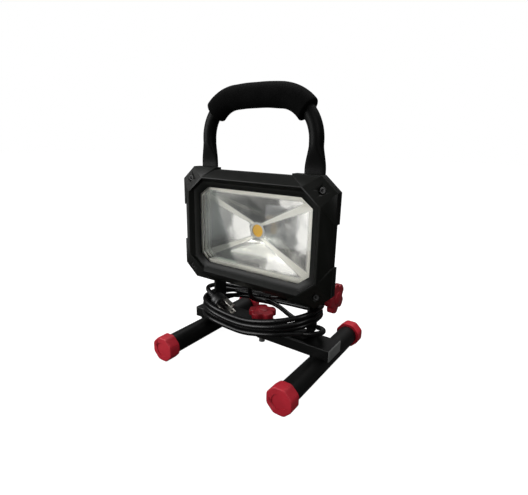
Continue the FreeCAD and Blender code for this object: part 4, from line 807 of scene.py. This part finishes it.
# ---------------------------------------------------------------- foam grip
GRIP_R = 13.6
HANDLE_R = 8.0
HANDLE_Y = -15.8
ARCH_CENTRE_Z = -77.92
ARCH_R = 400.0
ARCH_ANGLE = math.radians(3.89)
BEND_R = 46.0
BEND_CENTRE = (27.5, 275.0)
BEND_ANGLE = math.radians(43.5)
BEND_START = (30.62, 320.92)
GRIP_FACES = 56            # round the sleeve
ARCH_STEPS = 8
STRAIGHT_STEPS = 3
BEND_STEPS = 26
ROLL_STEPS = 5             # the sleeve's end is rolled in, in these steps ...
ROLL_TURN = 18             # ... of this angle, a quarter turn in all ...
ROLL_IN = 2.2              # ... this far inwards ...
ROLL_ON = 1.6              # ... while it goes on this far
TUBE_PRESS = 0.3           # the end grips the tube this tightly
TUCK = 4.0                 # and is tucked in this far
END_SLANT = math.tan(math.radians(10))
SLANT_SPAN = (0.25, 1.05)  # the shares of the bend over which the slant sets in
DIMPLE_DEPTH = 0.35
DIMPLES_PER_METRE = 55
GRIP_SAME_SPOT = 1e-5


def foam_form():
    """Half the sleeve: spun along arch and bend, rolled in to the tube, then mirrored."""
    form = bmesh.new()
    made = bmesh.ops.create_circle(
        form, cap_ends=False, segments=GRIP_FACES, radius=GRIP_R * MM
    )
    stand = Matrix.Translation((0, HANDLE_Y * MM, (ARCH_CENTRE_Z + ARCH_R) * MM))
    stand = stand @ Matrix.Rotation(math.pi / 2, 4, "Y")
    bmesh.ops.transform(form, matrix=stand, verts=made["verts"])
    last = form.verts[:] + form.edges[:]
    last = spun(form, last, (0, ARCH_CENTRE_Z), ARCH_ANGLE, ARCH_STEPS)
    step_x = (BEND_START[0] - ARCH_R * math.sin(ARCH_ANGLE)) / STRAIGHT_STEPS
    step_z = (BEND_START[1] - (ARCH_CENTRE_Z + ARCH_R * math.cos(ARCH_ANGLE))) / STRAIGHT_STEPS
    for _ in range(STRAIGHT_STEPS):
        last = pulled(form, last, (step_x, step_z))
    last = spun(form, last, BEND_CENTRE, BEND_ANGLE, BEND_STEPS)

    end_angle = ARCH_ANGLE + BEND_ANGLE
    along = Vector((math.cos(end_angle), 0, -math.sin(end_angle)))
    outward = Vector((math.sin(end_angle), 0, math.cos(end_angle)))
    middle = Vector((BEND_CENTRE[0], HANDLE_Y, BEND_CENTRE[1])) + outward * BEND_R
    for step in range(1, ROLL_STEPS + 1):
        angle = math.radians(ROLL_TURN * step)
        before = angle - math.radians(ROLL_TURN)
        advance = ROLL_ON * (math.sin(angle) - math.sin(before))
        last = pulled(form, last, (along.x * advance, along.z * advance))
        middle += along * advance
        shrink(form, last, middle, rolled_radius(angle) / rolled_radius(before))
    last = pulled(form, last, (0, 0))
    shrink(form, last, middle, (HANDLE_R - TUBE_PRESS) / (GRIP_R - ROLL_IN))
    last = pulled(form, last, (-along.x * TUCK, -along.z * TUCK))
    rim = [item for item in last if isinstance(item, bmesh.types.BMEdge)]
    bmesh.ops.contextual_create(form, geom=rim)
    slant_ends(form)

    everything = form.verts[:] + form.edges[:] + form.faces[:]
    bmesh.ops.mirror(form, geom=everything, axis="X", merge_dist=GRIP_SAME_SPOT)
    bmesh.ops.remove_doubles(form, verts=form.verts[:], dist=GRIP_SAME_SPOT)
    bmesh.ops.recalc_face_normals(form, faces=form.faces[:])
    for vert in form.verts:
        dimple = noise.noise(vert.co * DIMPLES_PER_METRE)
        vert.co += vert.normal * DIMPLE_DEPTH * MM * dimple
    return form


def rolled_radius(angle):
    """The sleeve's radius on its rolled end."""
    return GRIP_R - ROLL_IN * (1 - math.cos(angle))


def slant_ends(form):
    """Forced round the bend, the sleeve's outer side is drawn back, its inner side stands out."""
    for vert in form.verts:
        away = Vector((vert.co.x / MM - BEND_CENTRE[0], 0, vert.co.z / MM - BEND_CENTRE[1]))
        angle = math.atan2(away.x, away.z)
        share = smooth(*SLANT_SPAN, (angle - ARCH_ANGLE) / BEND_ANGLE)
        if share > 0:
            outward = away.normalized()
            along = Vector((outward.z, 0, -outward.x))
            vert.co -= along * (away.length - BEND_R) * END_SLANT * share * MM


def spun(form, geom, centre, angle, steps):
    """Carries an open end round a centre in the handle's plane; gives back the new end."""
    made = bmesh.ops.spin(
        form, geom=geom, cent=(centre[0] * MM, HANDLE_Y * MM, centre[1] * MM), axis=(0, 1, 0),
        dvec=(0, 0, 0), angle=angle, steps=steps, use_merge=False,
    )
    return made["geom_last"]


def pulled(form, geom, move):
    """Extrudes an open end straight, in X and Z; gives back the new end."""
    lines = [item for item in geom if isinstance(item, bmesh.types.BMEdge)]
    made = bmesh.ops.extrude_edge_only(form, edges=lines)["geom"]
    verts = [item for item in made if isinstance(item, bmesh.types.BMVert)]
    bmesh.ops.translate(form, verts=verts, vec=(move[0] * MM, 0, move[1] * MM))
    ends = set(verts)
    edges = [item for item in made if isinstance(item, bmesh.types.BMEdge)]
    return verts + [line for line in edges if set(line.verts) <= ends]


def shrink(form, geom, middle, ratio):
    verts = [item for item in geom if isinstance(item, bmesh.types.BMVert)]
    space = Matrix.Translation(-middle * MM)
    bmesh.ops.scale(form, vec=(ratio, ratio, ratio), space=space, verts=verts)


GRIP_CREASE = 60
foam = make_piece(
    "foam_sleeve", foam_form(), foam_black, "head", ["foam_grip"], GRIP_CREASE
)


# ---------------------------------------------------------------- strain relief and plug
RELIEF_R = 6.6
RELIEF_TAPER = 2.2         # how much thinner it gets
RELIEF_HEAD = 3.2          # its plain head is this long ...
RELIEF_END = 3.0           # ... and its plain end at least this long
RELIEF_PITCH = 2.75
# One band: how far each of its corners is from the sleeve's radius and from the band's start.
RELIEF_BAND = ((-0.2, 0.15), (-1.0, 0.45), (-1.0, 1.1), (-0.2, 1.4), (-0.1, 2.6))
RELIEF_FACES = 48
MOULDING_CREASE = 40


def relief_form():
    """A tapered sleeve with bands round it that let it flex."""
    relief_low, relief_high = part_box("strain_relief")
    length = (relief_high.z - relief_low.z) / MM
    outline = [(0, 0), (5.6, 0), (RELIEF_R, 1.2), (RELIEF_R, RELIEF_HEAD)]
    at = RELIEF_HEAD
    while at < length - RELIEF_END:
        radius = RELIEF_R - RELIEF_TAPER * at / length
        outline += [(radius + out, at + on) for out, on in RELIEF_BAND]
        at += RELIEF_PITCH
    outline += [(4.5, length - 0.8), (4.0, length), (0, length)]
    form = bmesh.new()
    turned(form, outline, RELIEF_FACES)
    middle = (relief_low + relief_high) / 2 / MM
    stood(form, (middle.x, middle.y, relief_high.z / MM), (0, 0, -1))
    return form


make_piece(
    "relief_sleeve", relief_form(), gland_black, "head", ["strain_relief"],
    MOULDING_CREASE,
)

PLUG_FACE = Vector((-49, -23.5, 62.2))
PLUG_HEADING = Vector((0.93, -0.27, -0.25)).normalized()
PLUG_TO_BLADES = Vector((0.40, 0.86, 0.30))
PLUG_LENGTH = 31.0
PLUG_NECK_R = 4.4
PLUG_NECK_FLARE = 2.6      # the neck widens by this much ...
PLUG_NECK_RUN = 16         # ... over this length
PLUG_RIBS = (1.2, 13.0)    # the neck is ribbed between these
PLUG_RIB_PITCH = 2.7
# One rib, as for the bands above, and the grip's outline from the ribs to the face.
PLUG_RIB = ((0.0, 0.0), (0.0, 1.3), (-0.8, 1.7), (-0.8, 2.3))
PLUG_GRIP = [
    (7.0, 14.6), (7.4, 15.6), (9.3, 16.6), (10.6, 18.2), (10.9, 20.5), (10.5, 23.0),
    (10.7, 26.0), (11.4, 28.0), (11.5, 30.0), (11.1, 30.8), (10.2, PLUG_LENGTH),
]


def plug_form():
    """A moulded plug, made along Z from its neck's end to its face: ribbed neck, waisted grip."""
    outline = [(0, 0), (3.9, 0), (PLUG_NECK_R, 0.6)]
    at, ribs_end = PLUG_RIBS
    while at < ribs_end:
        radius = PLUG_NECK_R + PLUG_NECK_FLARE * at / PLUG_NECK_RUN
        outline += [(radius + out, at + on) for out, on in PLUG_RIB]
        at += PLUG_RIB_PITCH
    outline += PLUG_GRIP + [(0, PLUG_LENGTH)]
    form = bmesh.new()
    turned(form, outline)
    across = PLUG_HEADING.cross(PLUG_TO_BLADES).normalized()
    to_blades = across.cross(PLUG_HEADING)
    turn = Matrix((to_blades, across * -1, PLUG_HEADING)).transposed().to_4x4()
    neck_end = PLUG_FACE - PLUG_HEADING * PLUG_LENGTH
    place = Matrix.Translation(neck_end * MM) @ turn
    bmesh.ops.transform(form, matrix=place, verts=form.verts[:])
    bmesh.ops.recalc_face_normals(form, faces=form.faces[:])
    return form


plug = make_piece(
    "plug_moulding", plug_form(), plug_black, "yoke", ["plug_body"],
    MOULDING_CREASE,
)

mains_lead.data.materials.append(cord_black.material)
mains_coil.data.materials.append(cord_black.material)
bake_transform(mains_lead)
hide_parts("cord_lead")
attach(mains_coil, "yoke")
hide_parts("cord_coil")


# ---------------------------------------------------------------- floor, backdrop and lamps
FLOOR_TONE = (0.15, 0.15, 0.15)
FLOOR_HALF = 6.0           # metres
FLOOR_PALER = 1.04         # in the tone's clouds
# Seen in reflections the floor is painted nearly black: a painted shade that darkens what metal and
# glass reflect.
FLOOR_MIRRORED_SHADE = (0.02, 0.02, 0.02)
FLOOR_MIRRORED = 0.75      # how much of that painted shade a mirrored floor takes
# Mirrored, the floor to the left of the object glows: a painted pool of light.
FLOOR_SEEN = 0.98          # how bright the floor is to a viewer ...
FLOOR_THROUGH = 0.05       # ... through glass ...
FLOOR_PAINTED_POOL = 0.25          # ... and mirrored, to the left of the object ...
FLOOR_PAINTED_POOL_X = (-520, -400)  # ... where it fades in between these places


def pale_floor():
    """A floor that a viewer sees as nearly white, with the object's soft shadow on it."""
    mesh = bpy.data.meshes.new("floor")
    form = bmesh.new()
    bmesh.ops.create_grid(form, x_segments=1, y_segments=1, size=FLOOR_HALF)
    form.to_mesh(mesh)
    form.free()
    floor = bpy.data.objects.new("floor", mesh)
    floor.location = (0, 0, cad_low.z)
    scene.collection.objects.link(floor)
    finish = Finish("floor_pale", FLOOR_TONE, 0.9, specular_ior_level=0.05)
    finish.paint(finish.noise(400), scaled(FLOOR_TONE, FLOOR_PALER))
    mirrored = finish.rays("Glossy")
    # painted shade: the floor is darker where it is seen in reflections
    finish.paint(mirrored * FLOOR_MIRRORED, FLOOR_MIRRORED_SHADE)
    # painted pool of light on the floor to the left of the object, seen only in reflections
    left = 1 - finish.axis("x").between(*FLOOR_PAINTED_POOL_X)
    strength = finish.rays("Camera") * FLOOR_SEEN + finish.rays("Transmission") * FLOOR_THROUGH
    strength += mirrored * left * FLOOR_PAINTED_POOL
    glow = finish.node("ShaderNodeEmission", {}, {"Strength": strength})
    lit = Value(finish, finish.shader.outputs[0])
    both = finish.node("ShaderNodeAddShader", {}, {0: lit, 1: glow})
    finish.join(finish.tree.nodes["Material Output"].inputs["Surface"], both)
    mesh.materials.append(finish.material)


pale_floor()


class WorldNodes(Finish):
    """The same kinds of node, in the world's tree."""

    def __init__(self, tree):
        self.tree = tree
        self.place = self.node("ShaderNodeTexCoord", {}, {}, "Generated")


SKY_LOW = 0.10             # how much light comes from below the horizon ...
SKY_RISE = 0.32            # ... and how much more from overhead
SKY_SPAN = (-0.1, 0.9)     # the heights between which it rises
MIRRORED_SPAN = (0.3, 0.9)  # mirrored, it is darker below these heights and brighter above ...
MIRRORED_SHIFT = 0.5       # ... by this share
THROUGH_LIFT = 0.3         # through glass it is brighter by this share


def studio_world():
    """White behind the object; for light and reflections, brighter overhead than at the horizon."""
    world = bpy.data.worlds.new("studio")
    scene.world = world
    world.use_nodes = True
    finish = WorldNodes(world.node_tree)
    high = finish.node("ShaderNodeSeparateXYZ", {}, {0: finish.place}, "Z")
    seen = finish.rays("Camera")
    soft = SKY_LOW + high.between(*SKY_SPAN) * SKY_RISE
    shift = finish.rays("Glossy") * (high.between(*MIRRORED_SPAN) - MIRRORED_SHIFT)
    lift = finish.rays("Transmission") * THROUGH_LIFT
    background = finish.tree.nodes["Background"]
    background.inputs["Color"].default_value = (1, 1, 1, 1)
    finish.join(background.inputs["Strength"], seen + (1 - seen) * soft * (1 + shift + lift))


studio_world()

SOFTBOXES = {              # place and target in metres, size in metres, power in watts
    "overhead": ((-0.10, 0.25, 1.15), (0, 0, 0.15), (0.9, 0.7), 14.0),
    "front_left": ((-0.95, -0.55, 0.70), (0, 0, 0.14), (0.6, 0.6), 3.0),
    "low_left": ((-0.72, -0.86, 0.42), (0, 0, 0.165), (0.8, 0.5), 12.0),
    "low_card": ((-0.16, -0.55, 0.05), (0.04, 0, 0.16), (0.30, 0.12), 0.12),
    "right_side": ((0.95, -0.75, 0.75), (0, 0, 0.12), (0.5, 0.5), 5.0),
}
for name, (at, target, size, watts) in SOFTBOXES.items():
    lamp = bpy.data.lights.new(name, "AREA")
    lamp.shape = "RECTANGLE"
    lamp.size, lamp.size_y = size
    lamp.energy = watts
    holder = bpy.data.objects.new(name, lamp)
    holder.location = at
    holder.rotation_mode = "QUATERNION"
    holder.rotation_quaternion = (Vector(target) - Vector(at)).to_track_quat("-Z", "Y")
    scene.collection.objects.link(holder)
